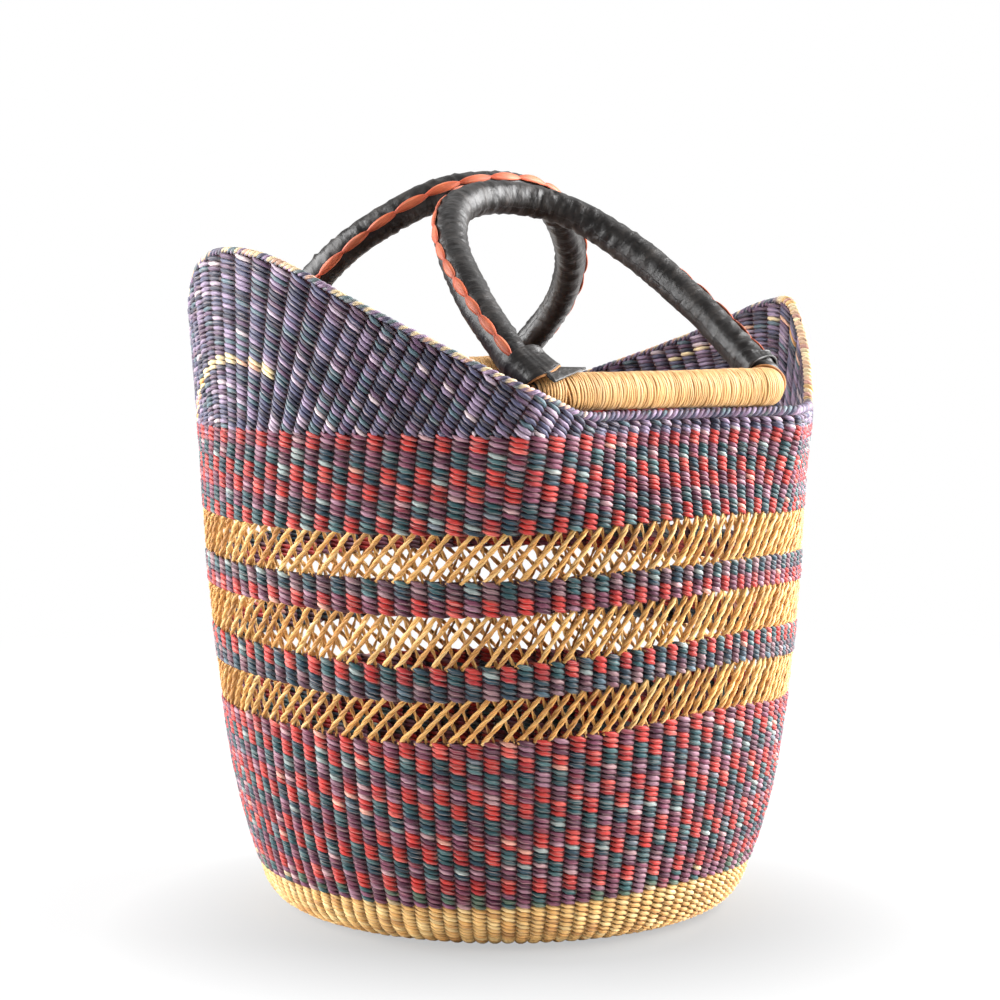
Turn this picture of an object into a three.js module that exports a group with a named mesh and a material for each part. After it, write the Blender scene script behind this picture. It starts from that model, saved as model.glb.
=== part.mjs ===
// A twined grass shopper basket with a rim that rises to two wings, and two carrying handles.
// Each handle is a closed grass ring: its straight rod turns inside a straw binding on the rim,
// and its arch is covered with leather.
// Millimetres, +Z up. The origin is the centre of the underside, the handle rods lie along X,
// and the near side of the basket looks towards -Y.

import * as THREE from "three";

const turn = 2 * Math.PI;
const rad = THREE.MathUtils.degToRad;
const smooth = (x) => THREE.MathUtils.smoothstep(x, 0, 1);

// Twined wall
const wallThickness = 5;
const seam = 0.3; // gap kept between two pieces that meet
const wallColumns = 48; // flat faces round the lower part of the wall
const rimColumns = 72; // flat faces round the mouth, the wings and their border

// Heights of the zones of the weave, from the floor up
const baseHeight = 28;
const lowerWallHeight = 103;
const openLowerHeight = 26;
const bandLowerHeight = 20;
const openMiddleHeight = 26;
const bandUpperHeight = 19;
const openUpperHeight = 26;
const upperWallHeight = 54;

// Outside of the wall: a straight taper, drawn in further towards the floor
const mouthRadius = 192;
const sideTaper = 22;
const bellyDraw = 26.5;
const bellyPower = 5;
const wingFlare = 7; // how far the wings lean out at the higher crest

// Underside
const standRadius = 127; // flat part that rests on the floor
const baseTurnRadius = 151; // where the curve of the edge would meet the floor
const baseTurnSteps = 5;

// Openwork zones: slanted strands between two narrow hoops
const strandPitch = 22;
const strandWidth = 7;
const strandLean = 50; // degrees from upright
const hoopHeight = 2.5;

// Wings, as directions round the basket in degrees, 270 being the near side
const dipRise = 6; // wall above the upper zone where the handles are bound on
const leftWing = { crest: 182, rise: 95.5, low: 118, high: 254, crestRound: 0.3, footRound: 0.07 };
const rightWing = { crest: 347, rise: 66.5, low: 318, high: 417, crestRound: 0.2, footRound: 0.12 };
const wingRows = 4;
const borderRadius = 3; // plaited edge that finishes the rim
const borderSides = 6;

// Handles
const rodRadius = 5.5; // grass core
const leatherRadius = 10.25;
const leatherSides = 12;
const coreSides = 8;
const coverClearance = 0.4; // between the grass core and its leather
const bindingRadius = 11.3; // straw wound round the rod on the rim
const bindingSides = 12;
const rodClearance = 0.7; // room for the rod to turn in its binding
const elbowRadius = 10.5;
const elbowSteps = 4;
const archSteps = 7; // from a keeper to the crown
const keeperThickness = 1.75;
const keeperStart = 16; // height of the keepers on the legs
const keeperEnd = 36;
const laceWidth = 6;
const laceThickness = 1.4;
const rodInset = 165; // distance of the rods from the middle of the basket
const rodOutboard = 4; // how far the border's centre lies outside the rod's
const nearHandle = { side: -1, centre: -2, halfSpan: 83, rise: 201, power: 2.5, flare: 0, lean: 55 };
const farHandle = { side: 1, centre: 17, halfSpan: 86, rise: 178, power: 2.6, flare: 21, lean: 46 };

// The rim is drawn straight along each rod, and spread a little at the rod's ends
const drawnFrom = 235; // height where the drawing in starts
const cornerSpread = 5;
const spreadRelease = 18; // degrees past the ends in which the plan is round again
const shoulderPush = 11; // bulge of the wing round the near handle's left corner
const shoulderHalfWidth = 20;

// Colours
const strawColour = "#dcb468";
const redColour = "#a8434a";
const plumColour = "#6d4560";
const tealColour = "#3f5a63";
const slateColour = "#4c4a63";
const bindingColour = "#e8c276";
const leatherColour = "#34302e";
const laceColour = "#bf5538";

const mouthHeight =
  baseHeight + lowerWallHeight + openLowerHeight + bandLowerHeight + openMiddleHeight
  + bandUpperHeight + openUpperHeight + upperWallHeight;
const dipHeight = mouthHeight + dipRise;
const topRise = Math.max(leftWing.rise, rightWing.rise);
const borderLift = borderRadius + seam;
const rodHeight =
  dipHeight + borderLift + Math.sqrt((bindingRadius + seam + borderRadius) ** 2 - rodOutboard ** 2);
const drawnInset = rodInset + rodOutboard + wallThickness / 2; // outside of the wall along a rod

// Angle brought into the half turn either side of zero.
function wrapped(angle) {
  return angle - turn * Math.round(angle / turn);
}

// Radius of the round plan at a height.
function roundRadius(z) {
  const down = Math.max(0, 1 - z / mouthHeight);
  const up = Math.max(0, (z - dipHeight) / topRise);
  return mouthRadius - sideTaper * down - bellyDraw * down ** bellyPower + wingFlare * up;
}

// Directions of a rod's two ends and of the middle between them.
function rodDirections(handle) {
  const y = handle.side * rodInset;
  const ends = [-1, 1].map((s) => Math.atan2(y, handle.centre + s * handle.halfSpan));
  return { ends, middle: (ends[0] + ends[1]) / 2, half: Math.abs(ends[1] - ends[0]) / 2 };
}

// How far the full-height plan departs from round, in a direction.
function planShift(angle) {
  let shift = 0;
  for (const handle of [nearHandle, farHandle]) {
    const { middle, half } = rodDirections(handle);
    const past = Math.abs(wrapped(angle - middle)) - half;
    const hold = 1 - smooth(past / rad(spreadRelease));
    if (hold === 0) continue;
    const chord = drawnInset / Math.cos(wrapped(angle - (handle.side * turn) / 4));
    shift += hold * Math.min(chord - mouthRadius, cornerSpread);
  }
  const corner = rodDirections(nearHandle).ends[0];
  const off = Math.min(1, Math.abs(wrapped(angle - corner)) / rad(shoulderHalfWidth));
  return shift + (shoulderPush * (1 + Math.cos(Math.PI * off))) / 2;
}

// Outside radius of the wall in a direction and at a height.
function outsideRadius(angle, z) {
  const drawn = smooth((z - drawnFrom) / (mouthHeight - drawnFrom));
  return roundRadius(z) + drawn * planShift(angle);
}

// Height of a wing's slope as a share of its rise, from 1 at the crest (0) to 0 at the foot (1).
function slopeShare(s, crestRound, footRound) {
  const steep = 1 / (1 - (crestRound + footRound) / 2);
  if (s >= 1) return 0;
  if (s > 1 - footRound) return (steep * (1 - s) ** 2) / (2 * footRound);
  if (s > crestRound) return 1 - steep * (s - crestRound / 2);
  return 1 - (steep * s ** 2) / (2 * crestRound);
}

// Height of the top of the wall in a direction.
function rimHeight(angle) {
  let height = dipHeight;
  for (const wing of [leftWing, rightWing]) {
    const off = wrapped(angle - rad(wing.crest));
    const crest = wrapped(rad(wing.crest));
    const foot = off < 0 ? wrapped(rad(wing.low) - crest) : wrapped(rad(wing.high) - crest);
    height += wing.rise * slopeShare(Math.abs(off / foot), wing.crestRound, wing.footRound);
  }
  return height;
}

// Point of the wall: direction, height, and depth from 0 outside to 1 inside.
function wallPoint(angle, z, depth) {
  const r = outsideRadius(angle, z) - depth * wallThickness;
  return new THREE.Vector3(r * Math.cos(angle), r * Math.sin(angle), z);
}

// Moves each vertex of a geometry to the point that a function gives for it.
function reshape(geometry, place) {
  const at = geometry.attributes.position;
  const p = new THREE.Vector3();
  for (let i = 0; i < at.count; i += 1) {
    const q = place(p.fromBufferAttribute(at, i));
    at.setXYZ(i, q.x, q.y, q.z);
  }
  return geometry;
}

// Ring of wall between two heights, each a function of the direction.
function wallRing(low, high, rows, columns) {
  const profile = [];
  for (let i = 0; i <= rows; i += 1) profile.push(new THREE.Vector2(2, i));
  for (let i = rows; i >= 0; i -= 1) profile.push(new THREE.Vector2(1, i));
  profile.push(profile[0].clone());
  return reshape(new THREE.LatheGeometry(profile, columns), (p) => {
    const angle = Math.atan2(p.z, p.x);
    const z = THREE.MathUtils.lerp(low(angle), high(angle), p.y / rows);
    return wallPoint(angle, z, Math.hypot(p.x, p.z) - 1);
  });
}

// Named mesh with its own finish.
function piece(name, geometry, colour, roughness = 0.85) {
  const material = new THREE.MeshStandardMaterial({ color: colour, roughness, metalness: 0 });
  const mesh = new THREE.Mesh(geometry, material);
  mesh.name = name;
  return mesh;
}

// Flat round base with an edge that turns up to meet the wall.
function baseGeometry() {
  const edge = baseHeight - seam / 2;
  const topRadius = roundRadius(edge);
  const outer = new THREE.Path();
  outer.moveTo(0, 0);
  outer.lineTo(standRadius, 0);
  outer.quadraticCurveTo(baseTurnRadius, 0, topRadius, edge);
  const inner = new THREE.Path();
  inner.moveTo(0, wallThickness);
  inner.lineTo(standRadius, wallThickness);
  const innerTurn = baseTurnRadius - wallThickness;
  inner.quadraticCurveTo(innerTurn, wallThickness, topRadius - wallThickness, edge);
  const profile = [...outer.getPoints(baseTurnSteps), ...inner.getPoints(baseTurnSteps - 1).reverse()];
  profile.push(new THREE.Vector2(0, 0));
  return new THREE.LatheGeometry(profile, wallColumns).rotateX(turn / 4);
}

// Openwork: two hoops joined by slanted strands, with a gap right through the wall between each two.
function openworkGeometry(low, high) {
  const radius = roundRadius((low + high) / 2);
  const strands = Math.round((turn * radius) / strandPitch);
  const twist = (Math.tan(rad(strandLean)) * (high - low)) / radius;
  const hoopShare = hoopHeight / (high - low);
  const levels = [0, hoopShare, 1 - hoopShare, 1];
  const halfStrand = strandWidth / strandPitch / 2;
  const edges = 2 * strands; // even edges have a gap after them, odd ones a strand
  const positions = [];
  for (let edge = 0; edge < edges; edge += 1) {
    const across = Math.floor(edge / 2) + (edge % 2 ? 1 - halfStrand : halfStrand);
    for (const level of levels) {
      const angle = (across * turn) / strands + twist * level;
      const z = THREE.MathUtils.lerp(low, high, level);
      for (const depth of [0, 1]) positions.push(...wallPoint(angle, z, depth));
    }
  }
  const faces = [];
  const quad = (...corners) => {
    const [a, b, c, d] = corners.map(([edge, level, depth]) => {
      return ((edge % edges) * levels.length + level) * 2 + depth;
    });
    faces.push(a, b, c, a, c, d);
  };
  // Level face across the wall from one edge to the next, facing up or down.
  const shelf = (edge, level, up) => {
    const face = [[edge, level, 0], [edge + 1, level, 0], [edge + 1, level, 1], [edge, level, 1]];
    quad(...(up ? face : face.reverse()));
  };
  for (let edge = 0; edge < edges; edge += 1) {
    const next = edge + 1;
    const gapHere = edge % 2 === 0;
    for (const row of gapHere ? [0, 2] : [0, 1, 2]) {
      quad([edge, row, 0], [next, row, 0], [next, row + 1, 0], [edge, row + 1, 0]);
      quad([edge, row, 1], [edge, row + 1, 1], [next, row + 1, 1], [next, row, 1]);
    }
    shelf(edge, 0, false);
    shelf(edge, 3, true);
    if (!gapHere) continue;
    shelf(edge, 1, true);
    shelf(edge, 2, false);
    quad([edge, 1, 0], [edge, 1, 1], [edge, 2, 1], [edge, 2, 0]);
    quad([next, 1, 1], [next, 1, 0], [next, 2, 0], [next, 2, 1]);
  }
  return new THREE.BufferGeometry()
    .setAttribute("position", new THREE.Float32BufferAttribute(positions, 3))
    .setIndex(faces);
}

// Closed line along the centre of the rim's plaited border, with one point for each column.
class RimLine extends THREE.Curve {
  getPoint(t) {
    const angle = turn * t;
    const step = turn / rimColumns / 2;
    const run = 2 * step * mouthRadius;
    const slope = (rimHeight(angle + step) - rimHeight(angle - step)) / run;
    const height = rimHeight(angle);
    return wallPoint(angle, height, 0.5).setZ(height + borderLift * Math.hypot(1, slope));
  }

  getPointAt(t) {
    return this.getPoint(t);
  }

  getTangentAt(t) {
    return this.getTangent(t);
  }
}

// Line through given points, or a stretch of it, that is sampled exactly at them.
class PointLine extends THREE.Curve {
  constructor(points, closed = false, first = 0, last = closed ? points.length : points.length - 1) {
    super();
    Object.assign(this, { points, closed, first, last });
  }

  pointOf(i) {
    const n = this.points.length;
    return this.points[this.closed ? (i + n) % n : THREE.MathUtils.clamp(i, 0, n - 1)];
  }

  indexAt(t) {
    return Math.round(THREE.MathUtils.lerp(this.first, this.last, t));
  }

  getPoint(t) {
    return this.pointOf(this.indexAt(t)).clone();
  }

  getPointAt(t) {
    return this.getPoint(t);
  }

  getTangentAt(t) {
    const i = this.indexAt(t);
    const end = this.points.length - 1;
    const across = this.pointOf(i + 1).clone().sub(this.pointOf(i - 1));
    if (this.closed || (i > 0 && i < end)) return across.normalize();
    // At an open end the line keeps the bend of its last two steps.
    const side = i === 0 ? 1 : -1;
    const next = this.pointOf(i + side);
    const bend = this.pointOf(i + 2 * side).clone().sub(next).sub(next).add(this.pointOf(i));
    return across.addScaledVector(bend, -side / 2).normalize();
  }
}

// Points of a handle from the right end of its rod over the arch to the left end,
// in the handle's own frame: X along the rod, Z up the arch.
function handlePoints({ halfSpan, rise, power, flare }) {
  const elbow = [];
  for (let i = 0; i <= elbowSteps; i += 1) {
    const a = (i * turn) / 4 / elbowSteps;
    const x = halfSpan - elbowRadius * (1 - Math.sin(a));
    elbow.push(new THREE.Vector3(x, 0, elbowRadius * (1 - Math.cos(a))));
  }
  const archPoint = (v) => {
    const share = (1 - (v / rise) ** power) ** (1 / power);
    return new THREE.Vector3(share * (halfSpan + flare * Math.sin((Math.PI * v) / rise)), 0, v);
  };
  const leg = [keeperStart, keeperEnd].map(archPoint);
  for (let i = 1; i < archSteps; i += 1) {
    const share = Math.sin((i * turn) / 4 / archSteps);
    leg.push(archPoint(keeperEnd + (rise - keeperEnd) * share));
  }
  const right = [...elbow, ...leg];
  const left = right.map((p) => new THREE.Vector3(-p.x, 0, p.z)).reverse();
  return [...right, new THREE.Vector3(0, 0, rise), ...left];
}

// Regular outline, turned from a corner at the front by a share of one side.
function polygon(radius, sides, share) {
  const points = [];
  for (let i = 0; i < sides; i += 1) {
    const a = ((i + share) * turn) / sides;
    points.push(new THREE.Vector2(radius * Math.cos(a), radius * Math.sin(a)));
  }
  return points;
}

// Hollow tube along a line, from an outer and an inner outline.
function sleeve(extrudePath, outer, inner) {
  const section = new THREE.Shape(outer);
  section.holes.push(new THREE.Path(inner));
  const steps = extrudePath.last - extrudePath.first;
  return new THREE.ExtrudeGeometry(section, { steps, extrudePath });
}

// Outline with a flat side towards the outside of the arch, where the lacing lies.
function leatherOutline(radius) {
  return polygon(radius, leatherSides, 0.5);
}

// Flat thong laced along the outside of the arch, between the keepers.
function laceGeometry(line) {
  const out = leatherRadius * Math.cos(turn / leatherSides / 2) + seam + laceThickness / 2;
  const outside = line.points.map((p, i) => {
    const along = line.getTangentAt(i / line.last);
    return new THREE.Vector3(along.z, 0, -along.x).multiplyScalar(out).add(p);
  });
  const first = line.points.findIndex((p) => p.z === keeperEnd);
  const last = line.last - first;
  outside[first].addScaledVector(line.getTangentAt(first / line.last), seam);
  outside[last].addScaledVector(line.getTangentAt(last / line.last), -seam);
  const section = new THREE.Shape([
    new THREE.Vector2(-laceWidth / 2, -laceThickness / 2),
    new THREE.Vector2(laceWidth / 2, -laceThickness / 2),
    new THREE.Vector2(laceWidth / 2, laceThickness / 2),
    new THREE.Vector2(-laceWidth / 2, laceThickness / 2),
  ]);
  const extrudePath = new PointLine(outside, false, first, last);
  return new THREE.ExtrudeGeometry(section, { steps: last - first, extrudePath });
}

// Handle that turns on the rim: grass ring, leather cover, lacing and two keepers.
function handleGroup(name, handle) {
  const points = handlePoints(handle);
  const coreLine = new PointLine([...points, new THREE.Vector3(0, 0, 0)], true);
  const coreSteps = coreLine.points.length;
  const core = new THREE.TubeGeometry(coreLine, coreSteps, rodRadius, coreSides, true);
  const bore = rodRadius + coverClearance;
  const line = new PointLine(points);
  const cover = sleeve(line, leatherOutline(leatherRadius), polygon(bore, coreSides, 0));
  const group = new THREE.Group();
  group.add(piece(`${name}_handle_core`, core, strawColour));
  group.add(piece(`${name}_handle_leather`, cover, leatherColour, 0.55));
  group.add(piece(`${name}_handle_lacing`, laceGeometry(line), laceColour, 0.5));
  const first = points.findIndex((p) => p.z === keeperStart);
  const inside = leatherRadius + seam;
  const starts = { right: first, left: line.last - first - 1 };
  for (const [end, start] of Object.entries(starts)) {
    const leg = new PointLine(points, false, start, start + 1);
    const band = sleeve(leg, leatherOutline(inside + keeperThickness), leatherOutline(inside));
    group.add(piece(`${name}_handle_${end}_keeper`, band, leatherColour, 0.5));
  }
  group.position.set(handle.centre, handle.side * rodInset, rodHeight);
  group.rotation.x = handle.side * rad(handle.lean);
  return group;
}

// Straw binding on the rim that the handle's rod turns in.
function bindingPiece(name, handle) {
  const half = handle.halfSpan - elbowRadius - seam;
  const bore = rodRadius + rodClearance;
  const profile = [
    new THREE.Vector2(bore, -half),
    new THREE.Vector2(bindingRadius, -half),
    new THREE.Vector2(bindingRadius, half),
    new THREE.Vector2(bore, half),
    new THREE.Vector2(bore, -half),
  ];
  const ring = new THREE.LatheGeometry(profile, bindingSides).rotateZ(turn / 4);
  const mesh = piece(`${name}_rim_binding`, ring, bindingColour);
  mesh.position.set(handle.centre, handle.side * rodInset, rodHeight);
  return mesh;
}

const basket = new THREE.Group();
basket.add(piece("woven_base", baseGeometry(), strawColour));

const zones = [
  { name: "lower_wall", height: lowerWallHeight, colour: redColour, rows: 4, columns: wallColumns },
  { name: "openwork_lower", height: openLowerHeight, colour: strawColour, open: true },
  { name: "colour_band_lower", height: bandLowerHeight, colour: tealColour, rows: 1, columns: wallColumns },
  { name: "openwork_middle", height: openMiddleHeight, colour: strawColour, open: true },
  { name: "colour_band_upper", height: bandUpperHeight, colour: plumColour, rows: 1, columns: wallColumns },
  { name: "openwork_upper", height: openUpperHeight, colour: strawColour, open: true },
  { name: "upper_wall", height: upperWallHeight, colour: redColour, rows: 3, columns: rimColumns },
];
let floorOfZone = baseHeight;
for (const { name, height, colour, rows, columns, open } of zones) {
  const low = floorOfZone + seam / 2;
  floorOfZone += height;
  const high = floorOfZone - seam / 2;
  const plain = () => wallRing(() => low, () => high, rows, columns);
  basket.add(piece(name, open ? openworkGeometry(low, high) : plain(), colour));
}

const wingFoot = () => mouthHeight + seam / 2;
basket.add(piece("wing_wall", wallRing(wingFoot, rimHeight, wingRows, rimColumns), slateColour));
const border = new THREE.TubeGeometry(new RimLine(), rimColumns, borderRadius, borderSides, true);
basket.add(piece("rim_border", border, strawColour));
basket.add(bindingPiece("near", nearHandle));
basket.add(bindingPiece("far", farHandle));

const tote = new THREE.Group();
tote.add(basket);
tote.add(handleGroup("near", nearHandle));
tote.add(handleGroup("far", farHandle));

export default tote;
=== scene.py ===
"""Looks of a twined grass shopper basket with two wings and two leather-covered handles.

Every length is in metres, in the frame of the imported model: the origin is the centre of the underside,
the handles' rods lie along X, the near side looks towards -Y and +Z is up.
"""

import logging
import math
from dataclasses import dataclass, field
from enum import Enum
from typing import Iterable, Protocol

import bpy
import numpy as np
from mathutils import Matrix, Vector

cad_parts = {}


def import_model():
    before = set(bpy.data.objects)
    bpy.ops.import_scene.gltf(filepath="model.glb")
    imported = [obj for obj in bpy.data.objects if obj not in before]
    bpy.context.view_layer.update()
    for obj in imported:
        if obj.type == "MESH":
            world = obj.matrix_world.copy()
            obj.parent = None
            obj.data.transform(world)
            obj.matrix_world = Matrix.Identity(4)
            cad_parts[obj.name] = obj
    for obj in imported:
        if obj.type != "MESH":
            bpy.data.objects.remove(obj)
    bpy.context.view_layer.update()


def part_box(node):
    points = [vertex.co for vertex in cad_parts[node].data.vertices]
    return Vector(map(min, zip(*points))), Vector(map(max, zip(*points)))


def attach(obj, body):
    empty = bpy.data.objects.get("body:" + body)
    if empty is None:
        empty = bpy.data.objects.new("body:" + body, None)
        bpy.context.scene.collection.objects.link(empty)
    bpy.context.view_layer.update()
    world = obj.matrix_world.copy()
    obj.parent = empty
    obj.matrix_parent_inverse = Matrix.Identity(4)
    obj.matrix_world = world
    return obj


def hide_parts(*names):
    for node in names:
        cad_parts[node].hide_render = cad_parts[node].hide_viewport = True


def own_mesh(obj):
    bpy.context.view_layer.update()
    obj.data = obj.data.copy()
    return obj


logging.basicConfig(level=logging.INFO, format="%(message)s")
log = logging.getLogger("basket")

Array = np.ndarray
Point = tuple[float, float, float]
TURN = 2 * math.pi
MM = 0.001
STAKES = 112  # upright ribs of the wall
BASKET = "basket"  # body that everything but the handles rides on


def smooth(x: Array) -> Array:
    """Smooth step that rises from 0 at 0 to 1 at 1."""
    t = np.clip(x, 0.0, 1.0)
    return t * t * (3 - 2 * t)


def wrapped(angle: Array) -> Array:
    """Angle brought into the half turn either side of zero."""
    return angle - TURN * np.round(angle / TURN)


def unit(v: Array) -> Array:
    """Rows of v scaled to length one."""
    return v / np.maximum(np.linalg.norm(v, axis=-1, keepdims=True), 1e-12)


def square_to(course: Array, v: Array) -> Array:
    """Unit part of each row of v that stands square to a unit course."""
    return unit(v - course * np.sum(v * course, 1, keepdims=True))


def turned(first: Array, second: Array, phase: Array) -> tuple[Array, Array]:
    """Two directions that are square to each other, turned by a phase in their plane."""
    cos, sin = np.cos(phase)[:, None], np.sin(phase)[:, None]
    return first * cos + second * sin, second * cos - first * sin


def lengths_along(points: Array) -> Array:
    """Length along a line at each of its points."""
    return np.concatenate([[0], np.cumsum(np.linalg.norm(np.diff(points, axis=0), axis=1))])


def linear(hexcode: str) -> tuple[float, float, float]:
    """Turn an sRGB hex colour into linear red, green and blue.

    Args:
        hexcode: Colour such as "#e3b968".

    Returns:
        The three linear values.
    """
    parts = [int(hexcode[i : i + 2], 16) / 255 for i in (1, 3, 5)]
    return tuple(c / 12.92 if c <= 0.04045 else ((c + 0.055) / 1.055) ** 2.4 for c in parts)


# Dyes of the grass


class Dye(Enum):
    """Colours that one lot of grass shows, each with its weight."""

    RED = (("#b62f2a", 62), ("#9c2529", 26), ("#c8544c", 9), ("#d09484", 3))
    PURPLE = (("#743c52", 42), ("#56293f", 26), ("#8f6677", 18), ("#b08a8e", 6), ("#7d2f40", 8))
    TEAL = (("#22474d", 42), ("#1e3a48", 34), ("#456568", 13), ("#8b9896", 7), ("#66707a", 4))
    DEEP_TEAL = (("#26404c", 50), ("#223544", 30), ("#4d6674", 20))
    PLUM_BROWN = (("#6b4450", 50), ("#533645", 30), ("#8a6a70", 20))
    WING = (
        ("#4b4b66", 26), ("#2b2c42", 20), ("#86748f", 19), ("#58405a", 16),
        ("#4c626c", 10), ("#a896a8", 6), ("#c4b3b8", 3),
    )
    WING_FLECKED = (("#e8d2a4", 50), ("#dba98c", 22), ("#d9a05c", 10), ("#4b4a60", 18))
    MIXED = (("#e2cba0", 34), ("#cfa58c", 16), ("#4b4a60", 18), ("#86708a", 18), ("#5f7072", 14))
    GREENISH = (("#4b6353", 40), ("#2c5457", 30), ("#c2ad84", 10), ("#7d4a63", 20))
    STRAW = (("#e0b673", 50), ("#d4a360", 25), ("#e8c98c", 17), ("#bf8d52", 8))
    BARE = (("#d2a05a", 45), ("#bf8846", 30), ("#e0b878", 15), ("#a8743a", 10))
    CREAM = (("#ead8ae", 34), ("#e4c2a0", 26), ("#dcb578", 20), ("#c99a8c", 20))
    SLATE = (("#4b4a60", 45), ("#86708a", 35), ("#5d6468", 20))
    BINDING = (("#cb9d62", 55), ("#c19158", 28), ("#d6ad78", 17))
    # SHADOW and STRAW_SHADOW colour the stakes as painted shade in the gaps between the stitches.
    SHADOW = (("#48242f", 70), ("#522d38", 30))
    STRAW_SHADOW = (("#a5834c", 60), ("#b8945c", 40))


@dataclass
class DyePot:
    """Draws colours for stitches, the same each run."""

    seed: int
    rng: np.random.Generator = field(init=False)

    def __post_init__(self) -> None:
        """Start the random numbers."""
        self.rng = np.random.default_rng(self.seed)

    def draw(self, dye: Dye, count: int, spread: float = 0.12) -> Array:
        """Draw linear colours.

        Args:
            dye: The lot of grass.
            count: How many colours.
            spread: How far the brightness strays, as a share.

        Returns:
            One colour a row.
        """
        shades = np.array([linear(code) for code, _ in dye.value])
        weights = np.array([weight for _, weight in dye.value], float)
        picks = self.rng.choice(len(shades), count, p=weights / weights.sum())
        light = 1 + spread * self.rng.uniform(-1, 1, (count, 1))
        return shades[picks] * light

    def wander(self, count: int, size: float) -> Array:
        """Small random departures, one for each of count places."""
        return self.rng.uniform(-size, size, count)


# Shape of the basket


@dataclass(frozen=True)
class Wing:
    """One raised end of the rim. Its directions are in degrees, where 270 is the near side."""

    crest: float
    rise: float
    low: float
    high: float
    crest_round: float
    foot_round: float

    def share(self, angle: Array) -> Array:
        """Share of the wing's rise that the rim has in a direction.

        Args:
            angle: Direction round the basket.

        Returns:
            One at the crest, and zero past the wing's feet.
        """
        crest = wrapped(math.radians(self.crest))
        off = wrapped(angle - crest)
        low = wrapped(math.radians(self.low) - crest)
        high = wrapped(math.radians(self.high) - crest)
        s = np.abs(off / np.where(off < 0, low, high))
        steep = 1 / (1 - (self.crest_round + self.foot_round) / 2)
        slope = 1 - steep * (s - self.crest_round / 2)
        top = 1 - steep * s**2 / (2 * self.crest_round)
        foot = steep * (1 - s) ** 2 / (2 * self.foot_round)
        share = np.where(s <= self.crest_round, top, slope)
        share = np.where(s > 1 - self.foot_round, foot, share)
        return np.where(s >= 1, 0.0, share)


@dataclass(frozen=True)
class HandleShape:
    """Sizes of one handle, with side -1 for the near one and 1 for the far one.

    The lacing turns to the near side by lace_foot degrees at the right foot, and by lace_turn degrees
    towards the left foot, from the share lace_start of the arch on.
    """

    name: str
    side: int
    centre: float
    half_span: float
    rise: float
    power: float
    flare: float
    lean: float
    lace_turn: float
    lace_start: float
    lace_foot: float

    @property
    def body(self) -> str:
        """Name of the body that the handle's pieces ride on."""
        return f"{self.name}_handle"


NEAR = HandleShape(
    name="near", side=-1, centre=-0.002, half_span=0.083, rise=0.201, power=2.5, flare=0.0, lean=55,
    lace_turn=40, lace_start=0.6, lace_foot=28,
)
FAR = HandleShape(
    name="far", side=1, centre=0.017, half_span=0.086, rise=0.178, power=2.6, flare=0.021, lean=46,
    lace_turn=42, lace_start=0.42, lace_foot=0,
)


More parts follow.
